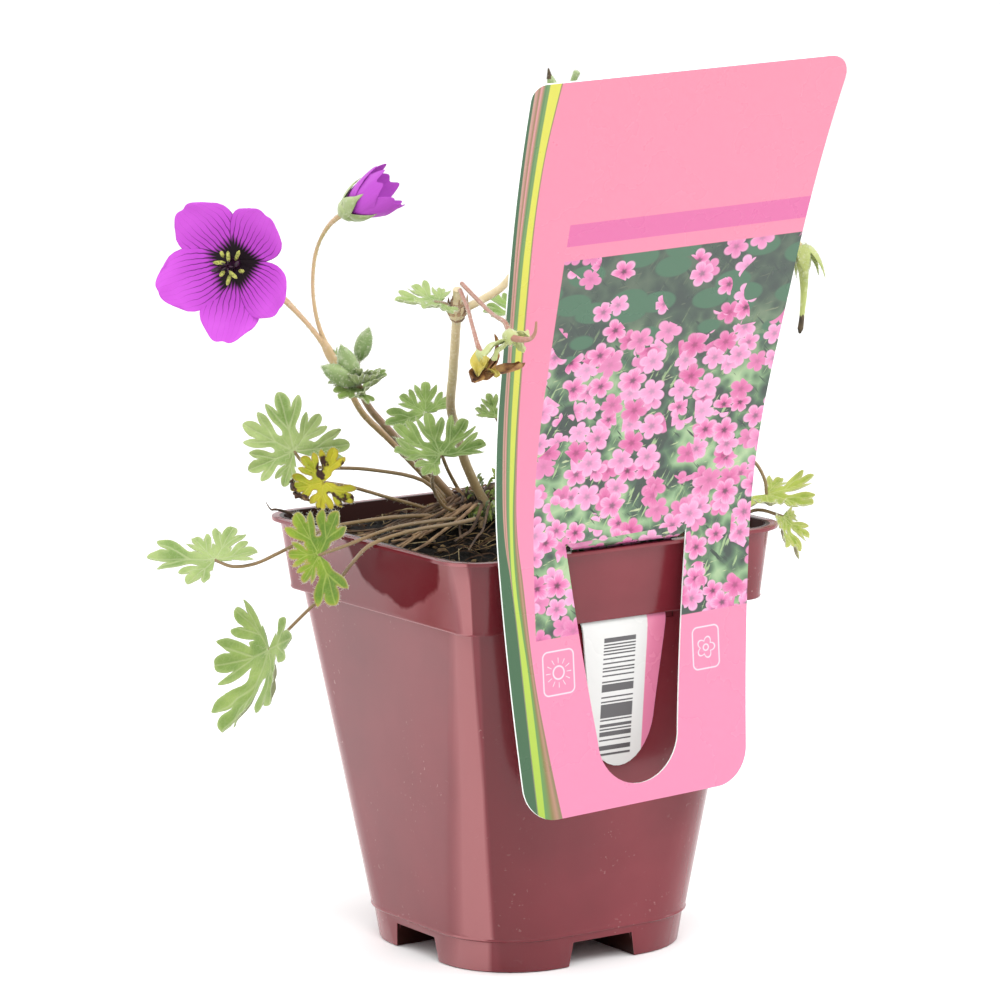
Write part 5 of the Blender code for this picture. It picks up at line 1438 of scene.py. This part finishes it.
def leafy_piece(name, blades, stems, materials, node):
    """One piece of blades and stems, with each blade's marks in its UV maps."""
    parts, marks = [], []
    for points, upper, beneath, blade_marks, hairs, short_hairs in blades:
        places = [0] * len(upper) + [1] * len(beneath)
        parts += [(points, upper + beneath, places), (*hairs, 3), (*short_hairs, 3)]
        marks += blade_marks + [OFF_BLADE] * (len(hairs[0]) + len(short_hairs[0]))
    for stem in stems:
        parts.append((*stem, 2))
        parts.append((*fuzz(stem, 160, 0.5, sum(len(part[0]) for part in parts), 0.035), 3))
    piece = built(name, parts, materials, 60)
    marks += [OFF_BLADE] * (len(piece.data.vertices) - len(marks))
    lobe_map = piece.data.uv_layers.new(name="lobe")
    margin_map = piece.data.uv_layers.new(name="margin")
    for loop in piece.data.loops:
        across, out, near = marks[loop.vertex_index]
        lobe_map.data[loop.index].uv = (across, out)
        margin_map.data[loop.index].uv = (min(near / 3.0, 1.0), 0.5)
    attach(piece, "root")
    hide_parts(node)


def leaf_material(name, young, deep, vein, margin, spots="#5a3a1c", spotted=2.0, edged=0.25):
    """A living blade: mottled colour, pale sunken veins, a fine net between them and a tinted margin."""
    blade, shader, where = new_material(name)
    lobe = add(blade, "SeparateXYZ", add(blade, "UVMap", uv_map="lobe"))
    near = add(blade, "SeparateXYZ", add(blade, "UVMap", uv_map="margin"))
    centred = add(blade, "Math SUBTRACT", lobe.outputs[0], 0.5)
    midrib = add(blade, "Math ABSOLUTE", centred)
    beyond = add(blade, "Math SUBTRACT", lobe.outputs[1], 0.33)
    spread_out = add(blade, "Math MULTIPLY", beyond, 0.42)
    branch = add(blade, "Math SUBTRACT", midrib, spread_out)
    off_branch = add(blade, "Math ABSOLUTE", branch)
    nearest = add(blade, "Math MINIMUM", midrib, off_branch)
    main = add(blade, "MapRange", Value=nearest, From_Min=0.019, From_Max=0.005)
    warped = add(blade, "TexNoise", Vector=where, Scale=500.0, Detail=2.0)
    net = add(blade, "TexVoronoi", Vector=where, Scale=780.0, feature="DISTANCE_TO_EDGE")
    fine = add(blade, "MapRange", Value=net.outputs[0], From_Min=0.10, From_Max=0.0)
    clouds = add(blade, "TexNoise", Vector=where, Scale=130.0, Detail=4.0)
    mottle = add(blade, "MapRange", Value=clouds, From_Min=0.36, From_Max=0.64)
    ground = add(blade, "Mix", mottle, deep, young)
    soft_net = add(blade, "Math MULTIPLY", fine, 0.16)
    netted = add(blade, "Mix", soft_net, ground, vein)
    soft_main = add(blade, "Math MULTIPLY", main, 0.5)
    veined = add(blade, "Mix", soft_main, netted, vein)
    rough_edge = add(blade, "Math MULTIPLY_ADD", warped, 0.12, near.outputs[0])
    edge = add(blade, "MapRange", Value=rough_edge, From_Min=0.06 + edged, From_Max=0.04)
    edge_part = add(blade, "Math MULTIPLY", edge, 0.75)
    edged_tone = add(blade, "Mix", edge_part, veined, margin)
    blots = add(blade, "TexNoise", Vector=where, Scale=210.0, Detail=3.0, Roughness=0.55)
    blotted = add(blade, "MapRange", Value=blots, From_Min=spotted, From_Max=spotted + 0.05)
    tone = add(blade, "Mix", blotted, edged_tone, spots)
    sunk = add(blade, "Math MULTIPLY_ADD", fine, 0.35, main)
    relief = add(blade, "Math MULTIPLY_ADD", warped, 0.5, sunk)
    bump = add(blade, "Bump", Strength=0.45, Distance=0.0003, Height=relief, invert=True)
    dull = add(blade, "MapRange", Value=clouds, To_Min=0.48, To_Max=0.66)
    wire(blade, shader, Base_Color=tone, Roughness=dull, Normal=bump)
    wire(blade, shader, Subsurface_Weight=0.1, Subsurface_Radius=(0.0006, 0.001, 0.0003))
    wire(blade, shader, Sheen_Weight=0.06, Sheen_Roughness=0.5, Specular_IOR_Level=0.3)
    return blade


# Blade finishes, from grey-green through yellow-green to a dying yellow; each is paler beneath.
grey_above = leaf_material("grey_green_leaf_upper", "#a0b371", "#76914b", "#b2be8e", "#a4b378")
grey_below = leaf_material("grey_green_leaf_under", "#97a671", "#7e9159", "#aab68b", "#9ea97d")
deep_above = leaf_material("shaded_green_leaf_upper", "#86a053", "#54722c", "#9cae73", "#8c9e60")
pale_above = leaf_material("pale_hairy_leaf_upper", "#8ca155", "#6c873e", "#a7b37d", "#97a76a")
pale_below = leaf_material("pale_hairy_leaf_under", "#96a676", "#7f9461", "#a9b58e", "#9ca982")
bright_above = leaf_material(
    "bright_leaf_upper", "#829a26", "#58781f", "#a2b057", "#a99052", "#6b4a26", 0.69, 0.16
)
lime_above = leaf_material("lime_leaf_upper", "#9ba946", "#7a8e2e", "#b6bc73", "#acab63", "#6b4a26", 0.68)
lime_below = leaf_material("lime_leaf_under", "#a9af78", "#959f64", "#bec39b", "#b6b88b")
yellow_above = leaf_material(
    "dying_leaf_upper", "#b8b024", "#919a1d", "#c1ba42", "#9f842b", "#35190b", 0.62, 0.16
)
yellow_below = leaf_material("dying_leaf_under", "#b2ac40", "#979b39", "#bdb865", "#a58e3d", "#3a1c0d", 0.63)
leaf_stalk = stem_material("pinkish_leaf_stalk", "#977f68", "#7f7449", "#a9947b")
FINISHES = {
    "grey": (grey_above, grey_below),
    "deep": (deep_above, grey_below),
    "pale": (pale_above, pale_below),
    "bright": (bright_above, lime_below),
    "lime": (lime_above, lime_below),
    "yellow": (yellow_above, yellow_below),
}

# Each leaf: its name, its CAD node, finish, place in the compost, points of its stalk, the centre
# of its blade, where the middle lobe points, where its upper side looks, and its lobes' lengths,
# the angle between them and how far they bend up.
LEAVES = (
    (
        "crown_leaf", "leaf_crown_front", "deep", (-11.5, 8.5),
        ((-17, 6.5, 101.5), (-22, 3, 106.5), (-26.5, -4, 111.5)), (-28, -9.5, 116.4), (-30, -2, 121),
        (-0.17, -0.35, 0.92), (10.5, 11.5, 11.5, 12, 11.5, 10), 46, 24
    ),
    (
        "small_crown_leaf", "leaf_crown_small", "deep", (-3.0, 20.5), ((-9, 17.5, 108), (-16.5, 11, 117.5)),
        (-21, 7.5, 123.3), (-21.5, 14, 129), (-0.4, -0.7, 0.6), (7, 7.5, 7, 9.5), 56, 20
    ),
    (
        "high_left_leaf", "leaf_left_high", "grey", (-12.0, 12.0),
        ((-17.5, 14.5, 106.5), (-28, 21.5, 109.3), (-38.5, 23.5, 110.5), (-42.5, 25.5, 111.6)),
        (-44.6, 26.6, 114.5), (-49.5, 30.5, 122.5), (-0.5, -0.7, 0.56), (12.5, 10, 13.5, 13, 12, 8.5), 49,
        18
    ),
    (
        "dying_leaf", "leaf_yellow", "yellow", (-14.5, 15.0),
        ((-19.5, 15.2, 101), (-27, 15.3, 103.6), (-36, 15.6, 106.8)), (-43.2, 16.0, 108.6),
        (-50.5, 17.5, 107.3), (-0.55, -0.75, 0.35), (8, 7.5, 8.3, 7.5, 8), 62, 22
    ),
    (
        "far_left_leaf", "leaf_left_middle", "grey", (-15.5, 11.5),
        (
            (-26, 11, 99.5), (-37, 10.5, 99.6), (-44.8, 11.5, 98.85), (-48.5, 15.5, 96.2),
            (-54, 17.8, 93.4), (-60, 18.5, 91.4), (-64.5, 21, 90.8)
        ),
        (-67.8, 23.5, 92.3), (-69, 34, 97), (-0.25, -0.5, 0.83), (9.5, 11, 8.5, 14.8, 10.5), 56, 20
    ),
    (
        "leaf_over_the_rim", "leaf_rim", "bright", (-13.5, 5.5),
        ((-24, 1, 99.6), (-36, -3.2, 100.1), (-44.4, -4.6, 99.0), (-48.2, -0.8, 96.8)), (-51.2, 5.4, 94.2),
        (-54.5, 12.0, 93.8), (-0.88, -0.45, 0.15), (11.2, 10.6, 7.5, 7, 12.5), 60, 14
    ),
    (
        "hanging_left_leaf", "leaf_left_low", "pale", (-10.5, 1.5),
        (
            (-21, -3.5, 99.3), (-34, -8.5, 100), (-43.8, -10.0, 99.1), (-46.2, -6.4, 96.8),
            (-46.1, 0.6, 91.8), (-47.6, 5.2, 86.8), (-54.0, 8.0, 80.6)
        ),
        (-60.5, 12.7, 72.5), (-62.8, 14.2, 60), (-0.82, 0.17, -0.29), (14, 16.5, 21.5, 17, 14), 58, 42
    ),
    (
        "leaf_behind_card", "leaf_behind_label", "deep", (3.5, 1.5), ((0, -1.5, 107), (-6, -4.5, 116)),
        (-10.5, -5.8, 122.8), (-5, -5, 128.5), (-0.4, -0.75, 0.5), (5, 6, 6.5, 6, 5), 50, 16
    ),
    (
        "upper_right_leaf", "leaf_right_upper", "lime", (10.5, 5.0),
        ((20, -2, 103), (33, -12, 110), (43, -19.5, 112.5), (47.7, -23.9, 109.7), (49.4, -26.2, 105.5)),
        (49.4, -27, 101.8), (53.2, -37, 99.8), (-0.1, -0.55, 0.83), (8.5, 12, 12.5, 11.5, 8), 50, 24
    ),
    (
        "lower_right_leaf", "leaf_right_lower", "lime", (11.5, 9.5),
        ((22, 1, 99.5), (33, -16, 98), (39.5, -27, 97.6), (44, -31, 99.4)), (49.4, -33.2, 97.6),
        (51.2, -35.5, 88.6), (0.55, -0.82, 0.1), (6, 8.5, 10, 9, 6.5), 42, 16
    ),
    (
        "right_back_leaf", "leaf_back_right", "grey", (12.0, 15.0),
        ((22, 20, 108), (40, 27, 118), (57, 32, 122)), (65.5, 33.8, 119.2), (80, 37, 114),
        (0.25, 0.05, 0.95), (11.5, 13, 13.9, 13.3, 11.5), 54, 18
    ),
    (
        "far_back_leaf", "leaf_back_far", "grey", (8.0, 22.5),
        ((16, 33, 107), (33, 50, 114), (48, 61, 115)), (54.6, 65.0, 112.4), (63, 78, 107), (0.2, 0.35, 0.9),
        (9.8, 11, 11, 10.2, 9.4), 54, 18
    ),
    (
        "high_back_leaf", "leaf_back_high", "deep", (11.0, 19.5),
        ((15.5, 24, 110), (22, 34, 124), (27, 41, 133)), (30, 45, 138), (37, 53, 141), (0.3, 0.1, 0.95),
        (9, 11, 11.5, 10.5, 9), 54, 22
    ),
    (
        "low_back_leaf", "leaf_back_low", "lime", (3.0, 23.5),
        ((9, 33, 100.5), (15, 44.4, 99.5), (19, 51, 94)), (21, 55, 88), (24, 60, 79), (0.35, 0.9, 0.25),
        (8.5, 10, 11, 10.5, 8.5), 54, 20
    ),
    (
        "right_side_leaf", "leaf_side_right", "grey", (13.5, 11.5), ((24, 10, 106), (35, 9, 114)),
        (43, 8, 119), (53, 6, 121), (0.15, -0.35, 0.93), (9, 11, 11.5, 10.5, 8.5), 54, 20
    ),
)
for seed, (name, node, finish, root, route, centre, aim, face, lengths, spacing, cup) in enumerate(LEAVES):
    blade = leaf_parts(centre, aim, face, lengths, seed, spacing, cup)
    petiole = swept(rooted(*root) + list(route) + [centre], (0.58, 0.47, 0.42, 0.38), 9, 5, 0.04, seed)
    leafy_piece(name, [blade], [petiole], [*FINISHES[finish], leaf_stalk, silver], node)

stub = swept([(-39.3, -31.2, 153.2), (-40.6, -31.1, 153.8), (-42.4, -30.8, 154.2)], (0.6, 0.45), 8, 4)
blade = leaf_parts((-41.5, -31, 154), (-50, -28, 154.5), (-0.1, -0.3, 0.95), (6, 8, 9.5, 8.5, 6), 51)
leafy_piece(
    "leaf_at_the_joint", [blade], [stub], [*FINISHES["grey"], leaf_stalk, silver],
    "leaf_on_stem"
)

# The knot of buds: three hairy buds and four small leaf-like bracts at the end of a reddish stalk.
main = swept(
    rooted(-7.5, 15.5) + [
        (-10.5, 17, 104), (-15.5, 18.5, 110), (-22.5, 19.3, 117.2), (-29.3, 18.2, 124), (-34.4, 15.0, 130.4)
    ],
    (0.95, 0.9, 0.8), 12, 6, 0.03, 11
)
short = swept([(-34.2, 15.2, 129.6), (-34.2, 15.6, 133.5), (-33.5, 15.5, 136.5)], (0.6, 0.5), 9, 4)
closed = [bud(base, tip, width) for base, tip, width in (
    ((-33.6, 15.6, 135.8), (-32.6, 12.5, 143.3), 4.0),
    ((-35, 14.8, 130.5), (-40.4, 12, 140), 4.9),
    ((-35, 14.4, 130.8), (-45.2, 12.4, 135.6), 4.7),
)]
bracts = []
for centre, aim, face, radius, seed in (
    ((-34.5, 15.2, 129.5), (-42, 11.5, 127.6), (-0.3, -0.6, 0.7), 7.6, 31),
    ((-33.5, 15.4, 128.8), (-29.5, 8.5, 131.6), (0.1, -0.6, 0.8), 8.2, 35),
    ((-34.5, 14.6, 131), (-38, 8.3, 134.2), (0.1, 0.1, 1.0), 6.4, 33),
    ((-34.2, 14.0, 130.6), (-40.5, 7.6, 131.4), (-0.5, -0.3, 0.8), 7.0, 36),
):
    bracts.append(leaf_parts(centre, aim, face, (radius * 0.85, radius, radius * 0.85), seed, grain=0.5))
parts = [(*part, 0) for part in closed]
parts += [(*fuzz(part, 300, 0.8, 90 + i), 1) for i, part in enumerate(closed)]
bud_knot = built("hairy_closed_buds", parts, [hairy_green, silver], 60)
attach(bud_knot, "root")
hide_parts("bud_spray")
leafy_piece(
    "bud_stalk_and_bracts", bracts, [main, short], [*FINISHES["deep"], reddish, silver],
    "bud_spray"
)


# The open flower: five broad, slightly notched petals, satin magenta with dark branching veins and
# a near-black eye. Each petal is its own thin sheet and laps over the next.

PETAL_SHAPE = (0.16, 0.40, 0.60, 0.77, 0.90, 0.98, 1.0, 0.98, 0.9, 0.66)
ROLLED_SHAPE = (0.5, 0.7, 0.86, 0.95, 1.0, 1.0, 1.0, 0.98, 0.93, 0.8)


def petal_material(name, inner, outer):
    """A petal, drawn along its own length: eye, veins that fork and fade, and a paler rim."""
    satin, shader, where = new_material(name)
    flat = add(satin, "SeparateXYZ", add(satin, "UVMap", uv_map="petal"))
    stray = add(satin, "TexNoise", Vector=where, Scale=260.0, Detail=2.0)
    drift = add(satin, "Math MULTIPLY_ADD", stray, 0.09, flat.outputs[0])
    veins = add(satin, "Math MULTIPLY", drift, 11.0)
    cycle = add(satin, "Math FRACT", veins)
    centred = add(satin, "Math SUBTRACT", cycle, 0.5)
    off_line = add(satin, "Math ABSOLUTE", centred)
    width = add(
        satin, "MapRange", Value=flat.outputs[1], From_Min=0.2, From_Max=0.76, To_Min=0.17, To_Max=0.0
    )
    inside = add(satin, "Math SUBTRACT", width, off_line)
    line = add(satin, "MapRange", Value=inside, From_Min=-0.03, From_Max=0.05)
    stops = ((0.0, inner), (0.45, inner), (0.8, outer), (1.0, outer))
    ground = add(satin, "ValToRGB", flat.outputs[1], stops=stops)
    lined = add(satin, "Math MULTIPLY", line, 0.78)
    veined = add(satin, "Mix", lined, ground, "#3b0740")
    jitter = add(satin, "Math MULTIPLY_ADD", off_line, 0.16, flat.outputs[1])
    ragged = add(satin, "Math MULTIPLY_ADD", stray, 0.06, jitter)
    eye = add(satin, "MapRange", Value=ragged, From_Min=0.42, From_Max=0.31)
    tone = add(satin, "Mix", eye, veined, "#12030c")
    fine = add(satin, "TexNoise", Vector=where, Scale=1400.0, Detail=2.0)
    relief = add(satin, "Math MULTIPLY_ADD", line, 0.6, fine)
    bump = add(satin, "Bump", Strength=0.25, Distance=0.0002, Height=relief, invert=True)
    wire(satin, shader, Base_Color=tone, Roughness=0.55, Normal=bump, Specular_IOR_Level=0.2)
    wire(satin, shader, Subsurface_Weight=0.06, Subsurface_Radius=(0.001, 0.0003, 0.001))
    return satin


def petalled(name, petals, material, node):
    """One piece of petals, each with its own length and width in its UV map."""
    points, faces, marks = [], [], []
    for petal_points, petal_faces, flat in petals:
        start = len(points)
        points += petal_points.tolist()
        marks += flat
        faces += [tuple(start + i for i in face) for face in petal_faces]
    piece = clean_piece(name, points, faces, [material], None, 60)
    petal_map = piece.data.uv_layers.new(name="petal")
    for loop in piece.data.loops:
        petal_map.data[loop.index].uv = marks[loop.vertex_index]
    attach(piece, "root")
    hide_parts(node)
    return piece


magenta = petal_material("satin_magenta_petal", "#b040bb", "#bf50c8")
VIEW_RIGHT = (0.838, -0.545, 0.0)
over = unit(np.cross(OPEN_WAY, VIEW_RIGHT))
level = np.cross(over, OPEN_WAY)
petals = []
PETALS = ((130, 18.3, 7.3), (52, 16.2, 7.0), (-38, 17.0, 6.5), (-96, 19.0, 7.2), (-161, 19.4, 7.3))
for index, (turn, length, half) in enumerate(PETALS):
    sheet, faces, flat = shell(length, half, 40.0, PETAL_SHAPE, 20, 26, 0.28, 0.025, 0.02, 1.1, index + 2)
    sheet = sheet + (0.0, 0.0, 0.32 * (index % 3))
    a = math.radians(turn)
    along_petal = math.cos(a) * level + math.sin(a) * over
    across_petal = math.cos(a) * over - math.sin(a) * level
    turned = sheet @ np.array([along_petal, across_petal, OPEN_WAY])
    petals.append((turned + OPEN_FLOWER - OPEN_WAY * 0.3, faces, flat))
petalled("open_flower", petals, magenta, "open_flower_petals")

# Ten dark purple filaments round a dark style, eight of them with yellow-green anthers.
dark = speckled("blackish_filament", ((0.3, "#12050f"), (0.7, "#331029")), 700.0, Roughness=0.4)
anther = speckled(
    "dusty_yellow_anther", ((0.35, "#767a31"), (0.6, "#b0b35a")), 2200.0, relief=0.5, depth=0.0002,
    Roughness=0.8
)
front = OPEN_FLOWER + OPEN_WAY * 0.5
style = swept([front - OPEN_WAY, front + OPEN_WAY * 2.2, front + OPEN_WAY * 5.0], (1.5, 0.8, 0.35), 10, 4)
parts = [(*style, 0)]
for index in range(10):
    a = 2 * math.pi * index / 10 + 0.25
    away = math.cos(a) * level + math.sin(a) * over
    reach = 3.1 if index % 2 else 2.2
    top = front + OPEN_WAY * (4.4 if index % 2 else 5.4) + away * reach
    middle = front + OPEN_WAY * 2.4 + away * reach * 0.6
    parts.append((*swept([front, middle, top], (0.28, 0.22, 0.18), 6, 4), 0))
    lean = away * (1.25 if index % 3 else 0.7) + OPEN_WAY * 0.35
    lean = lean + np.cross(OPEN_WAY, away) * (0.5 - 0.25 * (index % 4))
    route = [top + lean * share for share in (-1, -0.4, 0.5, 1)]
    parts.append((*swept(route, (0.2, 0.48, 0.46, 0.15), 7, 3, 0.1, index), 1 if index % 5 else 0))
for index in range(5):
    a = 2 * math.pi * index / 5
    away = math.cos(a) * level + math.sin(a) * over
    tip = front + OPEN_WAY * 6.2 + away * 1.5
    middle = front + OPEN_WAY * 5.8 + away * 0.6
    parts.append((*swept([front + OPEN_WAY * 4.4, middle, tip], (0.26, 0.2, 0.1), 6, 3), 0))
stamens = built("flower_stamens", parts, [dark, anther])
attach(stamens, "root")
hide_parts("open_flower_stamens")

# The half-open flower: the same five petals, still rolled into a funnel.
young = petal_material("furled_magenta_petal", "#913aa0", "#ac49b8")
mouth = HALF_OPEN_FLOWER + HALF_WAY * 1.5
petals = []
for index in range(5):
    sheet, faces, flat = shell(13.4, 4.6, 84.0, ROLLED_SHAPE, 18, 24, 0.28, 0.05, 0.0, 1.8, index + 11)
    away = np.maximum(sheet[:, 0] * 0.6, 0.0)
    turn = sheet[:, 1] / np.maximum(away, 2.6)
    away = away + 0.28 * turn
    sheet = np.stack([away * np.cos(turn), away * np.sin(turn), sheet[:, 2] * 1.36], axis=1)
    flat = [(u, 0.45 + 0.55 * v) for u, v in flat]
    petals.append((aimed(sheet, mouth, HALF_WAY, (0, 0, 1), 72 * index + 10), faces, flat))
petalled("half_open_flower", petals, young, "half_open_petals")


# Seed heads: after the petals fall the sepals close over a long beak. One hangs beside the label,
# two young ones stand above its top edge.

ripe = stem_material("pale_green_seed_head", "#a7af67", "#88954b", "#c0c39b")
brown_tip = speckled("browned_beak_tip", ((0.3, "#261d11"), (0.7, "#5d4c2f")), 400.0, Roughness=0.7)
drooping = unit((0.12, -0.02, -1.0))
mouth = (45.9, -46.3, 161.4)
hood = folded(sepals(mouth, drooping, 12.5, 86.0, 2.9, 41, (0, 1, 0)), mouth, drooping, 0.52)
hood.append(bud((45.8, -46.3, 161.2), (46.0, -46.3, 154.0), 3.6))
beak = swept([(45.9, -46.3, 157), (46, -46.3, 151), (45.5, -46.1, 145)], (1.3, 0.8, 0.55), 9, 5, 0.05, 3)
tip = swept([(45.6, -46.15, 146), (45.2, -46, 142.6), (45.0, -46.0, 141.6)], (0.6, 0.65, 0.3), 8, 4, 0.1, 4)
parts = [(*part, 0) for part in hood + [beak]] + [(*tip, 1)]
parts += [(*fuzz(part, 150, 0.8, 120 + i), 2) for i, part in enumerate(hood)]
seed_head = built("hanging_seed_head", parts, [ripe, brown_tip, silver])
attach(seed_head, "root")
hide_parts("seed_head")
first = bud((-25.3, -54.6, 197.6), (-27.5, -54.5, 204.6), 2.6)
second = swept([(-25.1, -55.2, 197.6), (-24, -57, 201), (-23, -58.6, 204.8)], (0.45, 0.5, 0.8), 8, 4, 0.05, 5)
tip = swept([(-27.3, -54.5, 203.4), (-27.6, -54.5, 205.6)], (0.7, 0.15), 6, 3)
parts = [(*first, 0), (*second, 0), (*tip, 1)]
parts += [(*fuzz(first, 160, 0.7, 131), 2), (*fuzz(second, 120, 0.6, 132), 2)]
young_heads = built("young_seed_heads_above_card", parts, [hairy_green, brown_tip, silver])
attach(young_heads, "root")
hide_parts("young_seed_heads")


# Two spent flowers on thin pink stalks in front of the label: yellow and pale green sepals, petals
# dried brown and curled, and the start of a beak.

pink_stalk = stem_material("pink_flower_stalk", "#a27161", "#906d52", "#b38d81")
pale_sepal = stem_material("pale_green_sepal", "#b0b77d", "#97a15c", "#c6caa7")
yellow_sepal = stem_material("yellowed_sepal", "#bdad40", "#9e9032", "#cac17a")
crisp_stops = ((0.32, "#31170c"), (0.5, "#774c24"), (0.68, "#a9844c"))
crisp = speckled("crisp_brown_petal", crisp_stops, 380.0, 4.0, 0.6, Roughness=0.7)
DRIED_SHAPE = (0.4, 0.8, 1.0, 0.95, 0.8, 0.5, 0.3)


def crumpled(base, tip, half_width, curl, up_hint, seed):
    """A dried petal or sepal from base to tip, cupped and ruffled."""
    length = np.linalg.norm(np.subtract(tip, base)) * 1.12
    sheet, faces, _ = shell(length, half_width, curl, DRIED_SHAPE, 8, 14, 0.3, 0.0, 0.7, 1.6, seed)
    return set_blade(sheet, base, tip, up_hint), faces


pedicel = swept(
    [
        (-38.9, -35.8, 157.0), (-41.7, -43, 154.1), (-45.4, -50.5, 151.5), (-48.7, -57.5, 148.6),
        (-49.1, -59.5, 146.8)
    ],
    (0.5, 0.42, 0.62), 9, 6, 0.03, 6
)
core = bud((-49, -58.6, 147.6), (-49.1, -60.2, 143.2), 2.8)
parts = [(*pedicel, 0), (*core, 1)]
parts.append((*crumpled((-49.3, -59.2, 147.2), (-50.6, -61.2, 141.6), 1.9, 40, (-0.6, -0.7, 0.2), 51), 2))
parts.append((*crumpled((-49.2, -59.6, 146.6), (-47.5, -61.4, 141.5), 1.6, 30, (0.3, -0.9, 0.2), 52), 2))
for base, end, width, curl, seed in (
    ((-49.6, -60, 144), (-52.8, -61, 139.2), 1.9, 70, 53),
    ((-49.4, -60.2, 143.2), (-41.0, -61.6, 140.8), 1.5, 50, 54),
    ((-49.2, -60.4, 143), (-44.9, -65.6, 147.6), 1.7, 60, 55),
    ((-49.0, -60.3, 143.4), (-45.0, -63.0, 144.0), 1.5, 80, 56),
    ((-50.2, -60.4, 141.8), (-47.0, -61.2, 140.4), 1.6, 90, 57),
):
    parts.append((*crumpled(base, end, width, curl, (0.1, -0.5, 0.9), seed), 3))
parts.append((*fuzz(pedicel, 200, 0.5, 141), 4))
left_tones = [pink_stalk, pale_sepal, yellow_sepal, crisp, silver]
left_spent = built("spent_flower_with_brown_petals", parts, left_tones)
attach(left_spent, "root")
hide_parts("spent_flower_left")

pedicel = swept(
    [
        (-38.2, -35.4, 158.4), (-40.1, -46.5, 155), (-41.8, -52.5, 154), (-43.4, -57.5, 153.6),
        (-44.6, -62, 153.2), (-45.7, -65.5, 151.5)
    ],
    (0.5, 0.42, 0.6), 9, 6, 0.03, 7
)
core = bud((-45.6, -65.6, 152), (-46.6, -67.2, 149), 3.6)
beak = swept(
    [
        (-46.4, -66.8, 150.6), (-45.4, -69.5, 150.3), (-44.4, -71.5, 150.6), (-43.8, -72.5, 152),
        (-43.8, -73, 154.3)
    ],
    (0.85, 0.5, 0.25), 9, 6, 0.04, 8
)
parts = [(*pedicel, 0), (*beak, 0), (*core, 1)]
for base, end, width, curl, seed in (
    ((-46.4, -66.4, 150.2), (-52.4, -64.4, 149.4), 1.2, 30, 61),
    ((-46.4, -66.2, 149.6), (-50.2, -64.2, 147.4), 1.2, 40, 62),
    ((-46.2, -66.4, 150.4), (-43.2, -68.6, 149.0), 1.2, 45, 63),
    ((-46.2, -66.2, 150.8), (-42.6, -67.0, 152.4), 1.1, 35, 64),
):
    parts.append((*crumpled(base, end, width, curl, (0.1, -0.6, -0.7), seed), 1))
parts += [(*fuzz(pedicel, 200, 0.5, 151), 2), (*fuzz(core, 90, 0.6, 152), 2)]
right_spent = built("spent_flower_with_beak", parts, [pink_stalk, pale_sepal, silver])
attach(right_spent, "root")
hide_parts("spent_flower_right")

# Withered leaflets, brown-black and curled, still cling to the tip of the dying leaf.
dead_stops = ((0.35, "#1a0f09"), (0.55, "#4a2c18"), (0.72, "#8a6a3a"))
withered = speckled("blackened_dead_leaf", dead_stops, 450.0, 3.0, 0.6, Roughness=0.75)
bits = []
for base, end, width, curl, seed in (
    ((-50.2, 16.0, 107.6), (-55.2, 14.2, 106.9), 1.0, 95, 71),
    ((-50.0, 15.2, 106.9), (-53.8, 13.4, 104.9), 1.2, 80, 72),
    ((-49.0, 14.6, 106.4), (-51.4, 12.6, 103.8), 1.3, 100, 73),
    ((-50.6, 16.4, 108.0), (-53.6, 15.6, 109.0), 0.8, 70, 74),
):
    bits.append((*crumpled(base, end, width, curl, (0.1, -0.6, 0.8), seed), 0))
withered_bits = built("withered_leaflets", bits, [withered])
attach(withered_bits, "root")
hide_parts("leaf_yellow")


# The setting: a plain white floor, soft studio light from above and both sides, and the camera
# where the photograph was taken from.

bpy.ops.mesh.primitive_plane_add(size=6.0, location=(0, 0, -0.0002))
floor = bpy.context.object
finished(floor, "studio_floor")
sweep, shader, _ = new_material("white_floor")
wire(sweep, shader, Base_Color="#f6f6f6", Roughness=0.6, Specular_IOR_Level=0.2)
floor.data.materials.append(sweep)

world = bpy.data.worlds.new("studio")
bpy.context.scene.world = world
world.use_nodes = True
world.node_tree.nodes["Background"].inputs["Color"].default_value = (1.0, 1.0, 1.0, 1.0)
world.node_tree.nodes["Background"].inputs["Strength"].default_value = 1.12


def soft_light(name, place, size, power):
    """A square soft light that looks at the plant."""
    light = bpy.data.lights.new(name, "AREA")
    light.shape = "SQUARE"
    light.size = size
    light.energy = power
    lamp = bpy.data.objects.new(name, light)
    bpy.context.scene.collection.objects.link(lamp)
    lamp.location = place
    lamp.rotation_euler = (Vector((0, 0, 0.09)) - Vector(place)).to_track_quat("-Z", "Y").to_euler()


soft_light("key_light", (-0.35, -0.95, 1.3), 0.9, 12.0)
soft_light("side_light", (1.1, -0.6, 0.8), 0.8, 8.0)
soft_light("back_light", (-0.6, 1.2, 0.9), 1.0, 7.0)

CAMERA_PLACE = (-0.6190, -0.9421, 0.2905)
FOCAL_LENGTH = 179.8
TURN, LIFT, ROLL = -0.5768, 0.1655, -0.0145
out = Vector((math.sin(TURN) * math.cos(LIFT), -math.cos(TURN) * math.cos(LIFT), math.sin(LIFT)))
right = Vector((math.cos(TURN), math.sin(TURN), 0.0))
camera = bpy.data.objects.new("camera", bpy.data.cameras.new("camera"))
bpy.context.scene.collection.objects.link(camera)
camera.data.lens = FOCAL_LENGTH
camera.data.sensor_width = 36.0
camera.data.clip_start = 0.01
stand = Matrix((right, out.cross(right), out)).transposed() @ Matrix.Rotation(ROLL, 3, "Z")
camera.matrix_world = Matrix.Translation(CAMERA_PLACE) @ stand.to_4x4()
bpy.context.scene.camera = camera
bpy.context.scene.view_settings.view_transform = "Standard"
